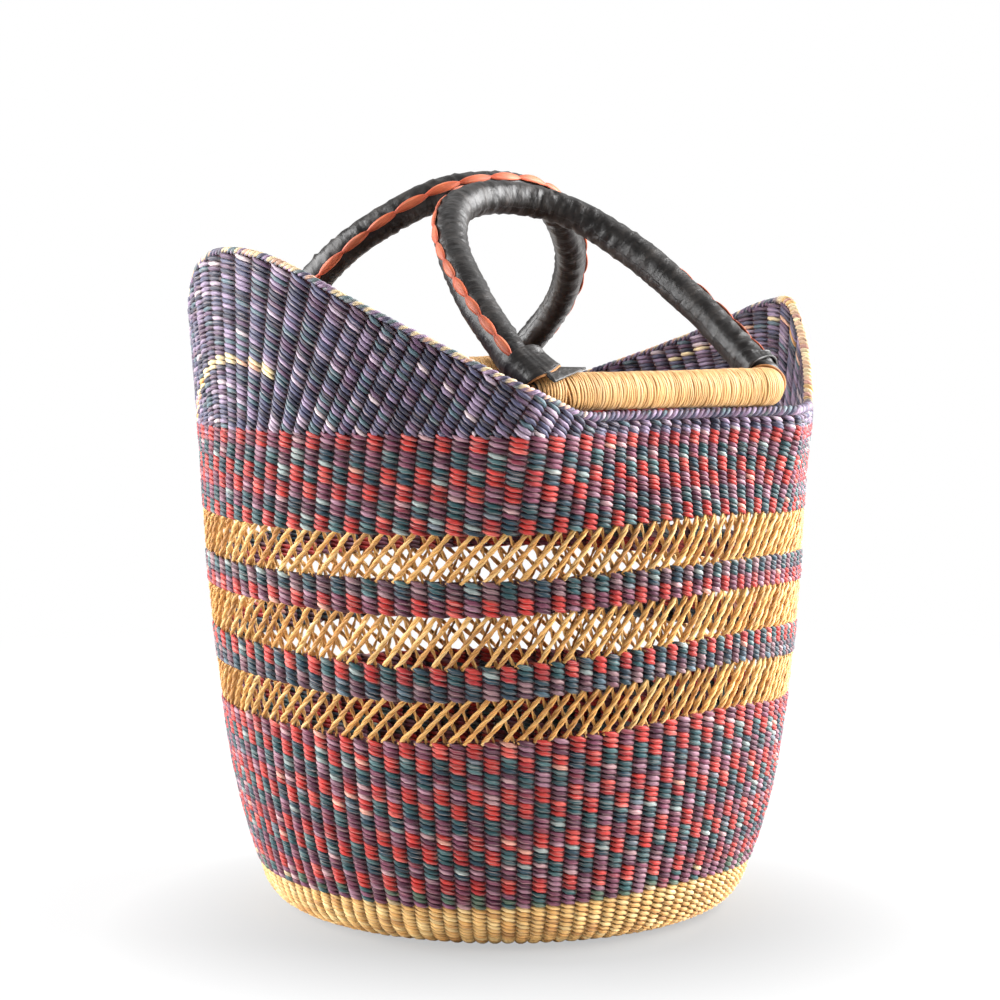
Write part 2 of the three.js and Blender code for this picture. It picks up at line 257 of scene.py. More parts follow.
@dataclass(frozen=True)
class BasketShape:
    """Outer shape of the twined wall and the line of its rim."""

    wall: float = 0.005
    mouth_height: float = 0.302
    dip_height: float = 0.308
    mouth_radius: float = 0.192
    side_taper: float = 0.022
    belly_draw: float = 0.0265
    belly_power: float = 5
    wing_flare: float = 0.007
    stand_radius: float = 0.127
    base_turn_radius: float = 0.151
    base_height: float = 0.028
    rod_inset: float = 0.165
    rod_outboard: float = 0.004
    drawn_from: float = 0.235
    corner_spread: float = 0.005
    spread_release: float = 18
    shoulder_push: float = 0.011
    shoulder_half_width: float = 20
    wings: tuple[Wing, ...] = (
        Wing(crest=182, rise=0.0955, low=118, high=254, crest_round=0.3, foot_round=0.07),
        Wing(crest=347, rise=0.0665, low=318, high=417, crest_round=0.2, foot_round=0.12),
    )
    border_radius: float = 0.003
    binding_radius: float = 0.0113
    seam: float = 0.0003

    @property
    def rod_height(self) -> float:
        """Height of the handles' rods over the floor.

        Returns:
            The height.
        """
        reach = self.binding_radius + self.seam + self.border_radius
        lift = math.sqrt(reach**2 - self.rod_outboard**2)
        return self.dip_height + self.border_radius + self.seam + lift

    def rod_point(self, side: int, x: float) -> Point:
        """Point of a handle's rod at a place along X."""
        return (x, side * self.rod_inset, self.rod_height)

    def round_radius(self, z: Array) -> Array:
        """Radius of the round plan at a height.

        Args:
            z: Height.

        Returns:
            The outer radius before the plan departs from round.
        """
        down = np.maximum(0, 1 - z / self.mouth_height)
        up = np.maximum(0, (z - self.dip_height) / max(wing.rise for wing in self.wings))
        belly = self.belly_draw * down**self.belly_power
        return self.mouth_radius - self.side_taper * down - belly + self.wing_flare * up

    def plan_shift(self, angle: Array) -> Array:
        """How far the plan at full height departs from round.

        Args:
            angle: Direction round the basket.

        Returns:
            The change of radius.
        """
        shift = np.zeros_like(angle)
        inset = self.rod_inset + self.rod_outboard + self.wall / 2
        corner = 0.0
        for handle in (FAR, NEAR):
            y = handle.side * self.rod_inset
            ends = [math.atan2(y, handle.centre + s * handle.half_span) for s in (-1, 1)]
            middle, half = sum(ends) / 2, abs(ends[1] - ends[0]) / 2
            corner = ends[0]
            past = np.abs(wrapped(angle - middle)) - half
            hold = 1 - smooth(past / math.radians(self.spread_release))
            chord = inset / np.maximum(np.cos(wrapped(angle - handle.side * TURN / 4)), 0.1)
            shift = shift + hold * np.minimum(chord - self.mouth_radius, self.corner_spread)
        off = np.minimum(1, np.abs(wrapped(angle - corner)) / math.radians(self.shoulder_half_width))
        return shift + self.shoulder_push * (1 + np.cos(math.pi * off)) / 2

    def rim_height(self, angle: Array) -> Array:
        """Height of the top of the wall in a direction."""
        return self.dip_height + sum(wing.rise * wing.share(angle) for wing in self.wings)

    def point(self, angle: Array, z: Array, depth: float = 0.5) -> Array:
        """Point of the wall.

        Args:
            angle: Direction round the basket.
            z: Height.
            depth: Place in the thickness, from 0 outside to 1 inside.

        Returns:
            The point.
        """
        drawn = smooth((z - self.drawn_from) / (self.mouth_height - self.drawn_from))
        r = self.round_radius(z) + drawn * self.plan_shift(angle) - depth * self.wall
        return np.stack([r * np.cos(angle), r * np.sin(angle), z + 0 * angle], -1)


SHAPE = BasketShape()


class Surface(Protocol):
    """Middle of the wall: u counts stakes round the basket and m is a length up along them."""

    def point(self, u: Array, m: Array) -> Array:
        """Point of the surface."""


STRAY_HEIGHTS = (0.028, 0.131, 0.157, 0.177, 0.203, 0.222, 0.248, 0.3)
SAG = (0.0020, 0.0051, 0.0069, 0.0072, 0.0037, 0.0025, 0.0026, 0.0)
PUSH = (0.0055, 0.0074, 0.0080, 0.0054, 0.0056, 0.0040, 0.0044, 0.0)
SAG_PLACE = (217, 0.65)  # each place is a direction in degrees and a half width in radians
PUSH_PLACE = (281, 0.48)
CROWDING = (
    (143, 0.0), (237, 0.0), (246, 0.7), (260, 3.3), (278, 7.6),
    (305, 15.0), (328, 20.7), (344, 23.9), (354, 23.9),
)  # directions, and how far the stakes stand back from them, in degrees
LEAN_FROM = 0.248
LEAN = 3.2  # degrees at the mouth, and less by LEAN_EASED at the place
LEAN_EASED = 1.6
LEAN_PLACE = (237, 0.44)


def hump(angle: Array, centre: float, width: float) -> Array:
    """Hump of height one at a direction in degrees, with a half width in radians."""
    return np.exp(-((wrapped(angle - math.radians(centre)) / width) ** 2))


def stray(angle: Array, m: Array) -> Array:
    """How far a row lies above its even height: it sags left of the near side and climbs right of it.

    Args:
        angle: Direction round the basket.
        m: Even height of the row.

    Returns:
        The rise over the even height.
    """
    sagging, pushed = hump(angle, *SAG_PLACE), hump(angle, *PUSH_PLACE)
    return pushed * np.interp(m, STRAY_HEIGHTS, PUSH) - sagging * np.interp(m, STRAY_HEIGHTS, SAG)


def stake_angle(u: Array, m: Array, packed: float = 1.0) -> Array:
    """Direction of a stake: above the lower wall the stakes crowd on the near right and lean.

    Args:
        u: Place round the basket, in stakes.
        m: Height.
        packed: Share of the crowding.

    Returns:
        The direction, in radians.
    """
    even = u * TURN / STAKES
    at, back = zip(*CROWDING)
    crowded = np.interp(np.degrees(even), at, back, period=360)
    lean = LEAN - LEAN_EASED * hump(even, *LEAN_PLACE)
    risen = np.clip((m - LEAN_FROM) / (SHAPE.mouth_height - LEAN_FROM), 0, 1)
    return even + np.radians(lean * risen - packed * crowded)


Wave = tuple[float, float, float, float]


def ripple(angle: Array, m: Array, waves: tuple[Wave, ...]) -> Array:
    """Sum of waves, each with its turns round the basket, its climb a metre, its start and its size."""
    return sum(size * np.sin(turns * angle + climb * m + start) for turns, climb, start, size in waves)


@dataclass
class WallSurface:
    """Upright wall, where m is the height. A hand's unevenness shows in its rows."""

    packed: float = 1.0
    row_wave: float = 0.5 * MM
    row_waves: tuple[Wave, ...] = ((3, 21, 1.0, 1.0), (7, -33, 2.2, 0.6))
    bulge: float = 0.8 * MM
    bulge_waves: tuple[Wave, ...] = ((4, -17, 0.4, 1.0), (9, 40, 0.0, 0.5))
    fade: float = 0.03

    def point(self, u: Array, m: Array) -> Array:
        """Middle of the wall's thickness, slightly uneven between base and mouth.

        Args:
            u: Place round the basket, in stakes.
            m: Even height.

        Returns:
            The point.
        """
        angle = stake_angle(u, m, self.packed)
        free = smooth((m - SHAPE.base_height) / self.fade) * smooth((SHAPE.mouth_height - m) / self.fade)
        wave, swell = ripple(angle, m, self.row_waves), ripple(angle, m, self.bulge_waves)
        p = SHAPE.point(angle, m + stray(angle, m) + self.row_wave * wave * free)
        out = np.stack([np.cos(angle), np.sin(angle), 0 * angle], -1)
        return p + out * (self.bulge * swell * free)[..., None]


@dataclass
class BaseSurface:
    """Underside and its turned-up edge, where m runs down from 0 at the edge's top."""

    steps: int = 60
    edge_reach: float = 0.024
    edge_slope: float = 0.36
    reach: Array = field(init=False)
    profile: Array = field(init=False)

    def __post_init__(self) -> None:
        """Work out the profile from the wall to the middle of the underside."""
        half = SHAPE.wall / 2
        t = np.linspace(0, 1, self.steps)[:, None]
        top = SHAPE.base_height
        start = np.array([float(SHAPE.round_radius(np.array(top))) - half, top])
        turn_point = np.array([SHAPE.base_turn_radius - half, half])
        end = np.array([SHAPE.stand_radius, half])
        curve = (1 - t) ** 2 * start + 2 * t * (1 - t) * turn_point + t**2 * end
        inwards = np.linspace(SHAPE.stand_radius, 0, self.steps)[1:]
        self.profile = np.concatenate([curve, np.stack([inwards, np.full_like(inwards, half)], -1)])
        self.reach = lengths_along(self.profile)

    def radius(self, m: Array) -> Array:
        """Radius of the profile."""
        return np.interp(-m, self.reach, self.profile[:, 0])

    def point(self, u: Array, m: Array) -> Array:
        """Middle of the base's thickness.

        Args:
            u: Place round the basket, in stakes.
            m: Length up from the edge's top, below zero.

        Returns:
            The point.
        """
        angle = u * TURN / STAKES
        r, z = self.radius(m), np.interp(-m, self.reach, self.profile[:, 1])
        rise = stray(angle, SHAPE.base_height) * smooth(1 + m / self.edge_reach)
        r = r + self.edge_slope * rise
        return np.stack([r * np.cos(angle), r * np.sin(angle), z + rise], -1)


@dataclass
class WingSurface:
    """Wall above the mouth line, where the stakes fan out from the wings' crests."""

    fan: float = 0.52
    spread: float = 27
    crest_shift: float = -6
    table_step: float = 0.125
    grid: Array = field(init=False)
    slope: Array = field(init=False)
    length: Array = field(init=False)

    def __post_init__(self) -> None:
        """Find how far each stake runs before it meets the rim."""
        self.grid = np.arange(0, STAKES, self.table_step)
        foot = stake_angle(self.grid, SHAPE.mouth_height)
        self.slope = self.lean(foot)
        rise = SHAPE.rim_height(foot) - SHAPE.mouth_height
        for _ in range(60):
            top = foot + self.slope * rise / SHAPE.mouth_radius
            rise = rise + 0.5 * (SHAPE.rim_height(top) - SHAPE.mouth_height - rise)
        self.length = rise * np.hypot(1, self.slope)

    def lean(self, angle: Array) -> Array:
        """Slope of a stake in a direction.

        Args:
            angle: Direction round the basket.

        Returns:
            The slope, positive where the stake leans towards a growing angle.
        """
        knots: list[tuple[float, float]] = []
        for wing in SHAPE.wings:
            crest = wing.crest + self.crest_shift
            knots += [(wing.low, -self.fan), (crest - self.spread, -self.fan)]
            knots += [(crest + self.spread, self.fan), (wing.high, self.fan)]
        at = np.array([k[0] for k in knots])
        value = np.tile([k[1] for k in knots], 3)
        return np.interp(np.degrees(angle) % 360, np.concatenate([at - 360, at, at + 360]), value)

    def rim_length(self, u: Array) -> Array:
        """Length of the stake at u from the mouth line to the rim."""
        return np.interp(u % STAKES, self.grid, self.length, period=STAKES)

    def point(self, u: Array, m: Array) -> Array:
        """Middle of the wall's thickness over the mouth line.

        Args:
            u: Place round the basket, in stakes.
            m: Length up the stakes.

        Returns:
            The point.
        """
        slope = np.interp(u % STAKES, self.grid, self.slope, period=STAKES)
        rise = m / np.hypot(1, slope)
        angle = stake_angle(u, SHAPE.mouth_height) + slope * rise / SHAPE.mouth_radius
        return SHAPE.point(angle, SHAPE.mouth_height + rise)


def frames(surface: Surface, u: Array, m: Array, closed: bool) -> tuple[Array, Array, Array]:
    """Points of a line on a surface with its directions.

    Args:
        surface: The surface.
        u: Place round the basket.
        m: Length up the stakes.
        closed: True where the line joins itself.

    Returns:
        Points, and unit directions up within the surface and outwards.
    """
    p = surface.point(u, m)
    if closed:
        course = unit(np.roll(p, -1, axis=0) - np.roll(p, 1, axis=0))
    else:
        course = unit(np.gradient(p, axis=0))
    up = surface.point(u, m + MM) - surface.point(u, m - MM)
    out = unit(np.cross(course, up))
    return p, np.cross(out, course), out


# Meshes


@dataclass
class StrandBatch:
    """Many strands gathered into one mesh, each a closed solid."""

    sides: int = 5
    vertices: list[Array] = field(default_factory=list)
    quads: list[Array] = field(default_factory=list)
    triangles: list[Array] = field(default_factory=list)
    dyes: list[Array] = field(default_factory=list)
    grains: list[Array] = field(default_factory=list)
    count: int = 0
    grain_step: float = 0.37  # so that no two strands show the same fibres

    def add(
        self, centre: Array, across: Array, along: Array, wide: Array, high: Array, dye: Array,
        closed: bool = False,
    ) -> None:
        """Add one strand.

        Args:
            centre: Points of its centre line.
            across: Unit direction of its section's first axis at each point.
            along: Unit direction of its section's second axis at each point.
            wide: Half size along the first axis, at each point.
            high: Half size along the second axis, at each point.
            dye: Linear colour at each point.
            closed: True where the end joins the start.
        """
        n, k = len(centre), self.sides
        a = (np.arange(k) + 0.5) * TURN / k
        section = np.cos(a)[None, :, None] * (across * wide[:, None])[:, None, :]
        section = section + np.sin(a)[None, :, None] * (along * high[:, None])[:, None, :]
        ring = centre[:, None, :] + section
        run = np.broadcast_to((lengths_along(centre) + self.grain_step * len(self.dyes))[:, None], (n, k))
        girth = np.broadcast_to(a * float(np.mean(high)), (n, k))
        self.vertices.append(ring.reshape(-1, 3))
        self.grains.append(np.stack([run, girth], -1).reshape(-1, 2))
        self.dyes.append(np.repeat(dye, k, axis=0))
        rows = np.arange(n if closed else n - 1)[:, None]
        here = rows * k + np.arange(k)[None, :]
        there = ((rows + 1) % n) * k + np.arange(k)[None, :]
        quads = np.stack([here, np.roll(here, -1, 1), np.roll(there, -1, 1), there], -1).reshape(-1, 4)
        mirrored = float(np.cross(across[0], along[0]) @ (centre[1] - centre[0])) < 0
        self.quads.append((quads[:, ::-1] if mirrored else quads) + self.count)
        if closed:
            self.count += n * k
            return
        self.vertices.append(np.stack([ring[0].mean(0), ring[-1].mean(0)]))
        self.grains.append(np.zeros((2, 2)))
        self.dyes.append(dye[[0, -1]])
        for middle, first, flip in ((n * k, 0, mirrored), (n * k + 1, (n - 1) * k, not mirrored)):
            edge = first + np.arange(k)
            fan = np.stack([np.full(k, middle), np.roll(edge, -1), edge], -1)
            self.triangles.append((fan[:, ::-1] if flip else fan) + self.count)
        self.count += n * k + 2

    def build(self, name: str) -> bpy.types.Object:
        """Make the mesh object, with smooth faces.

        Args:
            name: Its name.

        Returns:
            The object, linked to the scene.
        """
        quads = np.concatenate(self.quads)
        triangles = np.concatenate(self.triangles) if self.triangles else np.zeros((0, 3), int)
        points = np.concatenate(self.vertices)
        mesh = bpy.data.meshes.new(name)
        mesh.vertices.add(len(points))
        mesh.vertices.foreach_set("co", points.astype(np.float32).ravel())
        corners = np.concatenate([quads.ravel(), triangles.ravel()]).astype(np.int32)
        first = np.arange(len(triangles)) * 3 + 4 * len(quads)
        starts = np.concatenate([np.arange(len(quads)) * 4, first]).astype(np.int32)
        mesh.loops.add(len(corners))
        mesh.loops.foreach_set("vertex_index", corners)
        mesh.polygons.add(len(starts))
        mesh.polygons.foreach_set("loop_start", starts)
        mesh.polygons.foreach_set("use_smooth", np.ones(len(starts), bool))
        set_attribute(mesh, "dye", "FLOAT_COLOR", "color", np.concatenate(self.dyes), 1.0)
        set_attribute(mesh, "grain", "FLOAT_VECTOR", "vector", np.concatenate(self.grains), 0.0)
        mesh.update(calc_edges=True)
        obj = bpy.data.objects.new(name, mesh)
        bpy.context.scene.collection.objects.link(obj)
        return obj


def strand_piece(
    name: str, centre: Array, out: Array, thick: Array, half: Array, dye: Array, sides: int = 6
) -> bpy.types.Object:
    """Make a piece of one strand that lies flat on what it is wound round.

    Args:
        name: The piece's name.
        centre: Points of its centre line.
        out: Direction away from what it lies on, at each point.
        thick: Half size along that direction, at each point.
        half: Half width, at each point.
        dye: Linear colour at each point.
        sides: Sides of its section.

    Returns:
        The mesh object.
    """
    course = unit(np.gradient(centre, axis=0))
    across = square_to(course, out)
    batch = StrandBatch(sides)
    batch.add(centre, across, np.cross(course, across), thick, half, dye)
    return batch.build(name)


def set_attribute(
    mesh: bpy.types.Mesh, name: str, kind: str, member: str, values: Array, last: float
) -> None:
    """Give a mesh a value at each point.

    Args:
        mesh: The mesh.
        name: The attribute's name.
        kind: Its type in Blender's words.
        member: The member that foreach_set fills.
        values: Numbers, one row a point.
        last: Number that fills one more column.
    """
    layer = mesh.attributes.new(name, kind, "POINT")
    full = np.concatenate([values, np.full((len(values), 1), last)], 1)
    layer.data.foreach_set(member, full.astype(np.float32).ravel())


def span_of(node: str, axis: int) -> tuple[float, float]:
    """Lowest and highest place of a CAD node along an axis."""
    low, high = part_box(node)
    return low[axis], high[axis]


def finish_piece(
    obj: bpy.types.Object, material: bpy.types.Material, body: str, nodes: Iterable[str]
) -> None:
    """Dress a piece, tie it to its body and hide the CAD nodes that it replaces.

    Args:
        obj: The piece.
        material: Its finish.
        body: Body that it rides on.
        nodes: CAD nodes that it replaces.
    """
    obj.data.materials.clear()
    obj.data.materials.append(material)
    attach(obj, body)
    for node in nodes:
        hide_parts(node)
    obj.data.calc_loop_triangles()
    log.info("%s: %d triangles on %s", obj.name, len(obj.data.loop_triangles), body)


# Finishes


def add_node(
    tree: bpy.types.NodeTree, kind: str, inputs: dict | None = None, **settings: object
) -> bpy.types.Node:
    """Add a shader node.

    Args:
        tree: Node tree.
        kind: Node type.
        inputs: Socket name or number, with a value or an output to link.
        settings: Attributes of the node.

    Returns:
        The new node.
    """
    node = tree.nodes.new(kind)
    for name, value in settings.items():
        setattr(node, name, value)
    set_inputs(tree, node, inputs or {})
    return node


def set_inputs(tree: bpy.types.NodeTree, node: bpy.types.Node, inputs: dict) -> None:
    """Set a node's sockets.

    Args:
        tree: Node tree.
        node: The node.
        inputs: Socket name or number, with a value or an output to link.
    """
    for key, value in inputs.items():
        if isinstance(value, bpy.types.NodeSocket):
            tree.links.new(value, node.inputs[key])
        else:
            node.inputs[key].default_value = value


def new_material(
    name: str,
) -> tuple[bpy.types.Material, bpy.types.NodeTree, bpy.types.Node, bpy.types.NodeSocket]:
    """Make a material.

    Args:
        name: Its name.

    Returns:
        The material, its node tree, its shader node and the place on the object in metres.
    """
    material = bpy.data.materials.new(name)
    material.use_nodes = True
    tree = material.node_tree
    place = add_node(tree, "ShaderNodeTexCoord").outputs["Object"]
    return material, tree, tree.nodes["Principled BSDF"], place


def scaled_noise(
    tree: bpy.types.NodeTree, vector: bpy.types.NodeSocket, size: tuple[float, float, float],
    detail: float = 2,
) -> bpy.types.NodeSocket:
    """Noise whose grains have a real size.

    Args:
        tree: Node tree.
        vector: Coordinates in metres.
        size: Size of a grain along each axis, in metres.
        detail: Octaves of finer grain.

    Returns:
        The noise, from 0 to 1.
    """
    scale = tuple(1 / s for s in size)
    scaled = add_node(tree, "ShaderNodeVectorMath", {0: vector, 1: scale}, operation="MULTIPLY")
    return add_node(
        tree, "ShaderNodeTexNoise", {"Vector": scaled.outputs[0], "Scale": 1.0, "Detail": detail}
    ).outputs["Fac"]


def map_range(
    tree: bpy.types.NodeTree, value: bpy.types.NodeSocket, low: float, high: float,
    span: tuple[float, float] = (0.3, 0.7),
) -> bpy.types.NodeSocket:
    """Spread a span of values, such as a noise's usual ones, over a new range from low to high."""
    settings = {"Value": value, "From Min": span[0], "From Max": span[1], "To Min": low, "To Max": high}
    return add_node(tree, "ShaderNodeMapRange", settings).outputs["Result"]


def bumped(
    tree: bpy.types.NodeTree, height: bpy.types.NodeSocket, strength: float, distance: float,
    **below: bpy.types.NodeSocket,
) -> bpy.types.NodeSocket:
    """Raise a surface by a height in metres, over the Normal below it if there is one."""
    inputs = {"Height": height, "Strength": strength, "Distance": distance, **below}
    return add_node(tree, "ShaderNodeBump", inputs).outputs[0]


def colour_ramp(
    tree: bpy.types.NodeTree, share: bpy.types.NodeSocket, stops: tuple[tuple[float, str], ...]
) -> bpy.types.NodeSocket:
    """Colours along a share.

    Args:
        tree: Node tree.
        share: The share.
        stops: Position and sRGB colour of each stop, with the two ends first.

    Returns:
        The colour.
    """
    ramp = add_node(tree, "ShaderNodeValToRGB", {0: share})
    elements = ramp.color_ramp.elements
    for number, (position, colour) in enumerate(stops):
        element = elements[number] if number < 2 else elements.new(position)
        element.position, element.color = position, (*linear(colour), 1)
    return ramp.outputs[0]


@dataclass(frozen=True)
class DyedGrass:
    """Twined savannah grass, split and dyed. Its fibres run along each strand and give a satin streak."""

    name: str
    roughness: float = 0.5
    fibre: float = 0.6 * MM
    fibre_length: float = 7 * MM
    mottle: float = 14 * MM
    contrast: float = 0.32
    bump: float = 0.2 * MM
    pale: str = "#d3b8ae"
    bleached: float = 0.26
    bleached_span: tuple[float, float] = (0.58, 0.7)
    specular: float = 0.32
    dust: float = 0.18
    sheen_roughness: float = 0.35

    def build(self) -> bpy.types.Material:
        """Make the material.

        Returns:
            The material.
        """
        material, tree, shader, place = new_material(self.name)
        dye = add_node(tree, "ShaderNodeAttribute", attribute_name="dye").outputs["Color"]
        grain = add_node(tree, "ShaderNodeAttribute", attribute_name="grain").outputs["Vector"]
        fibres = scaled_noise(tree, grain, (self.fibre_length, self.fibre, 1.0))
        patches = scaled_noise(tree, place, (self.mottle,) * 3)
        streak = map_range(tree, fibres, 1 - self.contrast, 1 + self.contrast)
        patch = map_range(tree, patches, 0.9, 1.1)
        light = add_node(tree, "ShaderNodeMath", {0: streak, 1: patch}, operation="MULTIPLY").outputs[0]
        straws = scaled_noise(tree, grain, (self.fibre_length * 1.7, self.fibre * 0.9, 1.0), 0)
        share = map_range(tree, straws, 0.0, self.bleached, self.bleached_span)
        pale = (*linear(self.pale), 1)
        mix = add_node(tree, "ShaderNodeMixRGB", {"Fac": share, "Color1": dye, "Color2": pale})
        colour = add_node(tree, "ShaderNodeHueSaturation", {"Color": mix.outputs[0], "Value": light})
        set_inputs(tree, shader, {
            "Base Color": colour.outputs[0],
            "Normal": bumped(tree, fibres, 0.7, self.bump),
            "Roughness": map_range(tree, fibres, self.roughness + 0.1, self.roughness - 0.08),
            "Specular IOR Level": self.specular,
            "Sheen Weight": self.dust,
            "Sheen Roughness": self.sheen_roughness,
        })
        return material


@dataclass(frozen=True)
class SoftLeather:
    """Goatskin, vegetable tanned and dyed, wrapped wet. It dries creased, rubbed pale on its ridges."""

    name: str
    colour: str = "#191615"
    rubbed: str = "#36312e"
    deep: str = "#100d0c"
    roughness: float = 0.42
    grain: float = 0.8 * MM
    crease: float = 5 * MM
    crease_depth: float = 0.9 * MM
    grain_depth: float = 0.12 * MM
    mottle: float = 18 * MM

    def build(self) -> bpy.types.Material:
        """Make the material.

        Returns:
            The material.
        """
        material, tree, shader, place = new_material(self.name)
        grain = add_node(tree, "ShaderNodeAttribute", attribute_name="grain").outputs["Vector"]
        mottle = scaled_noise(tree, place, (self.mottle,) * 3, 4)
        crease = scaled_noise(tree, grain, (self.crease * 0.8, self.crease * 1.6, 1.0), 4)
        pores = scaled_noise(tree, place, (self.grain,) * 3, 3)
        both = add_node(tree, "ShaderNodeMath", {0: mottle, 1: crease}, operation="ADD").outputs[0]
        share = add_node(tree, "ShaderNodeMath", {0: both, 1: 0.5}, operation="MULTIPLY").outputs[0]
        folds = bumped(tree, crease, 0.9, self.crease_depth)
        stops = ((0.36, self.deep), (0.68, self.rubbed), (0.5, self.colour))
        set_inputs(tree, shader, {
            "Base Color": colour_ramp(tree, share, stops),
            "Normal": bumped(tree, pores, 0.5, self.grain_depth, Normal=folds),
            "Roughness": map_range(tree, mottle, self.roughness - 0.08, self.roughness + 0.12),
        })
        return material


@dataclass(frozen=True)
class GrassBundle:
    """Dry elephant grass stems laid side by side and tied, seen only where the leather is off."""

    name: str
    colour: str = "#c9a56a"
    dark: str = "#8f6f3c"
    stem: float = 1.6 * MM
    stem_length: float = 90 * MM
    stem_depth: float = 0.4 * MM
    roughness: float = 0.65

    def build(self) -> bpy.types.Material:
        """Make the material.

        Returns:
            The material.
        """
        material, tree, shader, place = new_material(self.name)
        stems = scaled_noise(tree, place, (self.stem_length, self.stem, self.stem))
        set_inputs(tree, shader, {
            "Base Color": colour_ramp(tree, stems, ((0.35, self.dark), (0.6, self.colour))),
            "Normal": bumped(tree, stems, 0.8, self.stem_depth),
            "Roughness": self.roughness,
        })
        return material


# Twined and openwork walls


@dataclass
class Twining:
    """Rows of two strands that cross between each pair of stakes. Where a strand turns in behind a stake
    its colour is darkened, as painted shade.
    """

    pot: DyePot
    depth: float = 2.3 * MM
    thickness: float = 1.25 * MM
    slant: float = 0.45
    half_height: float = 0.53
    crossing: float = 0.3
    # share of its colour that a strand keeps at the crossing, as painted shade
    darkest_painted_shade: float = 0.4
    bow_power: float = 0.6
    dive_power: float = 2.2
    painted_shade_power: float = 0.7
    play: float = 0.06
    thickness_play: float = 0.08
    places: tuple[float, ...] = (-0.5, -0.38, -0.15, 0.15, 0.38)

    def samples(self, stakes: int) -> tuple[Array, Array]:
        """Stake number and place round the basket of each sample of a whole row."""
        index = np.repeat(np.arange(stakes), len(self.places))
        return index, (index + np.tile(self.places, stakes)) * STAKES / stakes

    def row(
        self, batch: StrandBatch, surface: Surface, index: Array, u: Array, m: Array, pitch: float,
        colours: tuple[Array, Array], closed: bool = True, stakes: int = STAKES,
    ) -> None:
        """Add one row.

        Args:
            batch: Mesh that takes the two strands.
            surface: Surface that they lie in.
            index: Stake number of each sample.
            u: Place round the basket of each sample.
            m: Length up the stakes of each sample.
            pitch: Height of the row.
            colours: Linear colour of each stitch for the two strands.
            closed: True for a row that goes all the way round.
            stakes: Number of stakes in a whole round.
        """
        p, up, out = frames(surface, u, m, closed)
        local = u * stakes / STAKES
        for strand in (0, 1):
            phase = math.pi * (local + strand)
            front = np.cos(phase)
            out_share = np.abs(front)
            bow = np.sign(front) * out_share**self.bow_power
            wander = self.pot.wander(stakes, 1.0)[index]
            play = 1 + self.play * wander
            dive = np.sign(np.sin(phase)) * np.abs(np.sin(phase)) ** self.dive_power
            lift = pitch * (self.play * wander * out_share - self.slant * dive)
            high = pitch * (self.crossing + (self.half_height - self.crossing) * out_share) * play
            wide = self.thickness * (0.8 + 0.2 * out_share) * (1 + self.thickness_play * wander)
            reach = self.depth * bow * play
            centre = p + out * reach[:, None] + up * lift[:, None]
            # Painted shade: a stitch's colour darkens where the strand turns in between the stakes, most
            # at the crossing.
            shade = self.darkest_painted_shade + (1 - self.darkest_painted_shade) * out_share**self.painted_shade_power
            batch.add(centre, -out, up, wide, high, colours[strand][index] * shade[:, None], closed)


@dataclass
class Ribs:
    """Flattened upright stakes inside the twining, as wide as a share of their spacing. They are given
    dark colours, painted shade in the gaps between the stitches.
    """

    cover: float = 1.4
    half_thickness: float = 0.5 * MM

    def piece(
        self, name: str, surface: Surface, dyes: Array, spans: list[tuple[float, float, int]]
    ) -> bpy.types.Object:
        """Make one piece of all the stakes in a stretch of the weave.

        Args:
            name: The piece's name.
            surface: Surface that the stakes lie in.
            dyes: Linear colour of each stake.
            spans: Low end, high end and number of points of each stake.

        Returns:
            The mesh object.
        """
        batch = StrandBatch(sides=4)
        for stake, (dye, (low, high, steps)) in enumerate(zip(dyes, spans)):
            m = np.linspace(low, high, steps)
            place = np.full(steps, float(stake))
            p = surface.point(place, m)
            up = unit(np.gradient(p, axis=0))
            course = surface.point(place + 0.2, m) - surface.point(place - 0.2, m)
            out = unit(np.cross(course, up))
            spacing = surface.point(place + 0.5, m) - surface.point(place - 0.5, m)
            half_width = 0.5 * self.cover * np.linalg.norm(spacing, axis=1)
            thick = np.full(steps, self.half_thickness)
            batch.add(p, -out, np.cross(up, out), thick, half_width, np.tile(dye, (steps, 1)))
        return batch.build(name)


@dataclass(frozen=True)
class Band:
    """A band of colour blocks in the upright wall, listed from the top down."""

    node: str
    rows: int
    parts: int
    blocks: tuple[tuple[Dye, Dye], ...]
    seed: int
    packed: float = 1.0


UPPER_BLOCKS = ((Dye.RED, Dye.PURPLE), (Dye.PURPLE, Dye.TEAL), (Dye.TEAL, Dye.RED)) * 2
LOWER_BLOCKS = ((Dye.RED, Dye.PURPLE), (Dye.TEAL, Dye.RED), (Dye.PURPLE, Dye.TEAL)) * 3 + (
    (Dye.RED, Dye.PURPLE), (Dye.GREENISH, Dye.PURPLE),
)
BANDS = (
    Band("upper_wall", 18, 2, UPPER_BLOCKS, 11),
    Band("colour_band_upper", 6, 1, ((Dye.TEAL, Dye.PLUM_BROWN), (Dye.PURPLE, Dye.RED)), 12),
    Band("colour_band_lower", 6, 1, ((Dye.RED, Dye.TEAL), (Dye.DEEP_TEAL, Dye.PLUM_BROWN)), 13),
    Band("lower_wall", 33, 3, LOWER_BLOCKS, 14, 0.0),
)


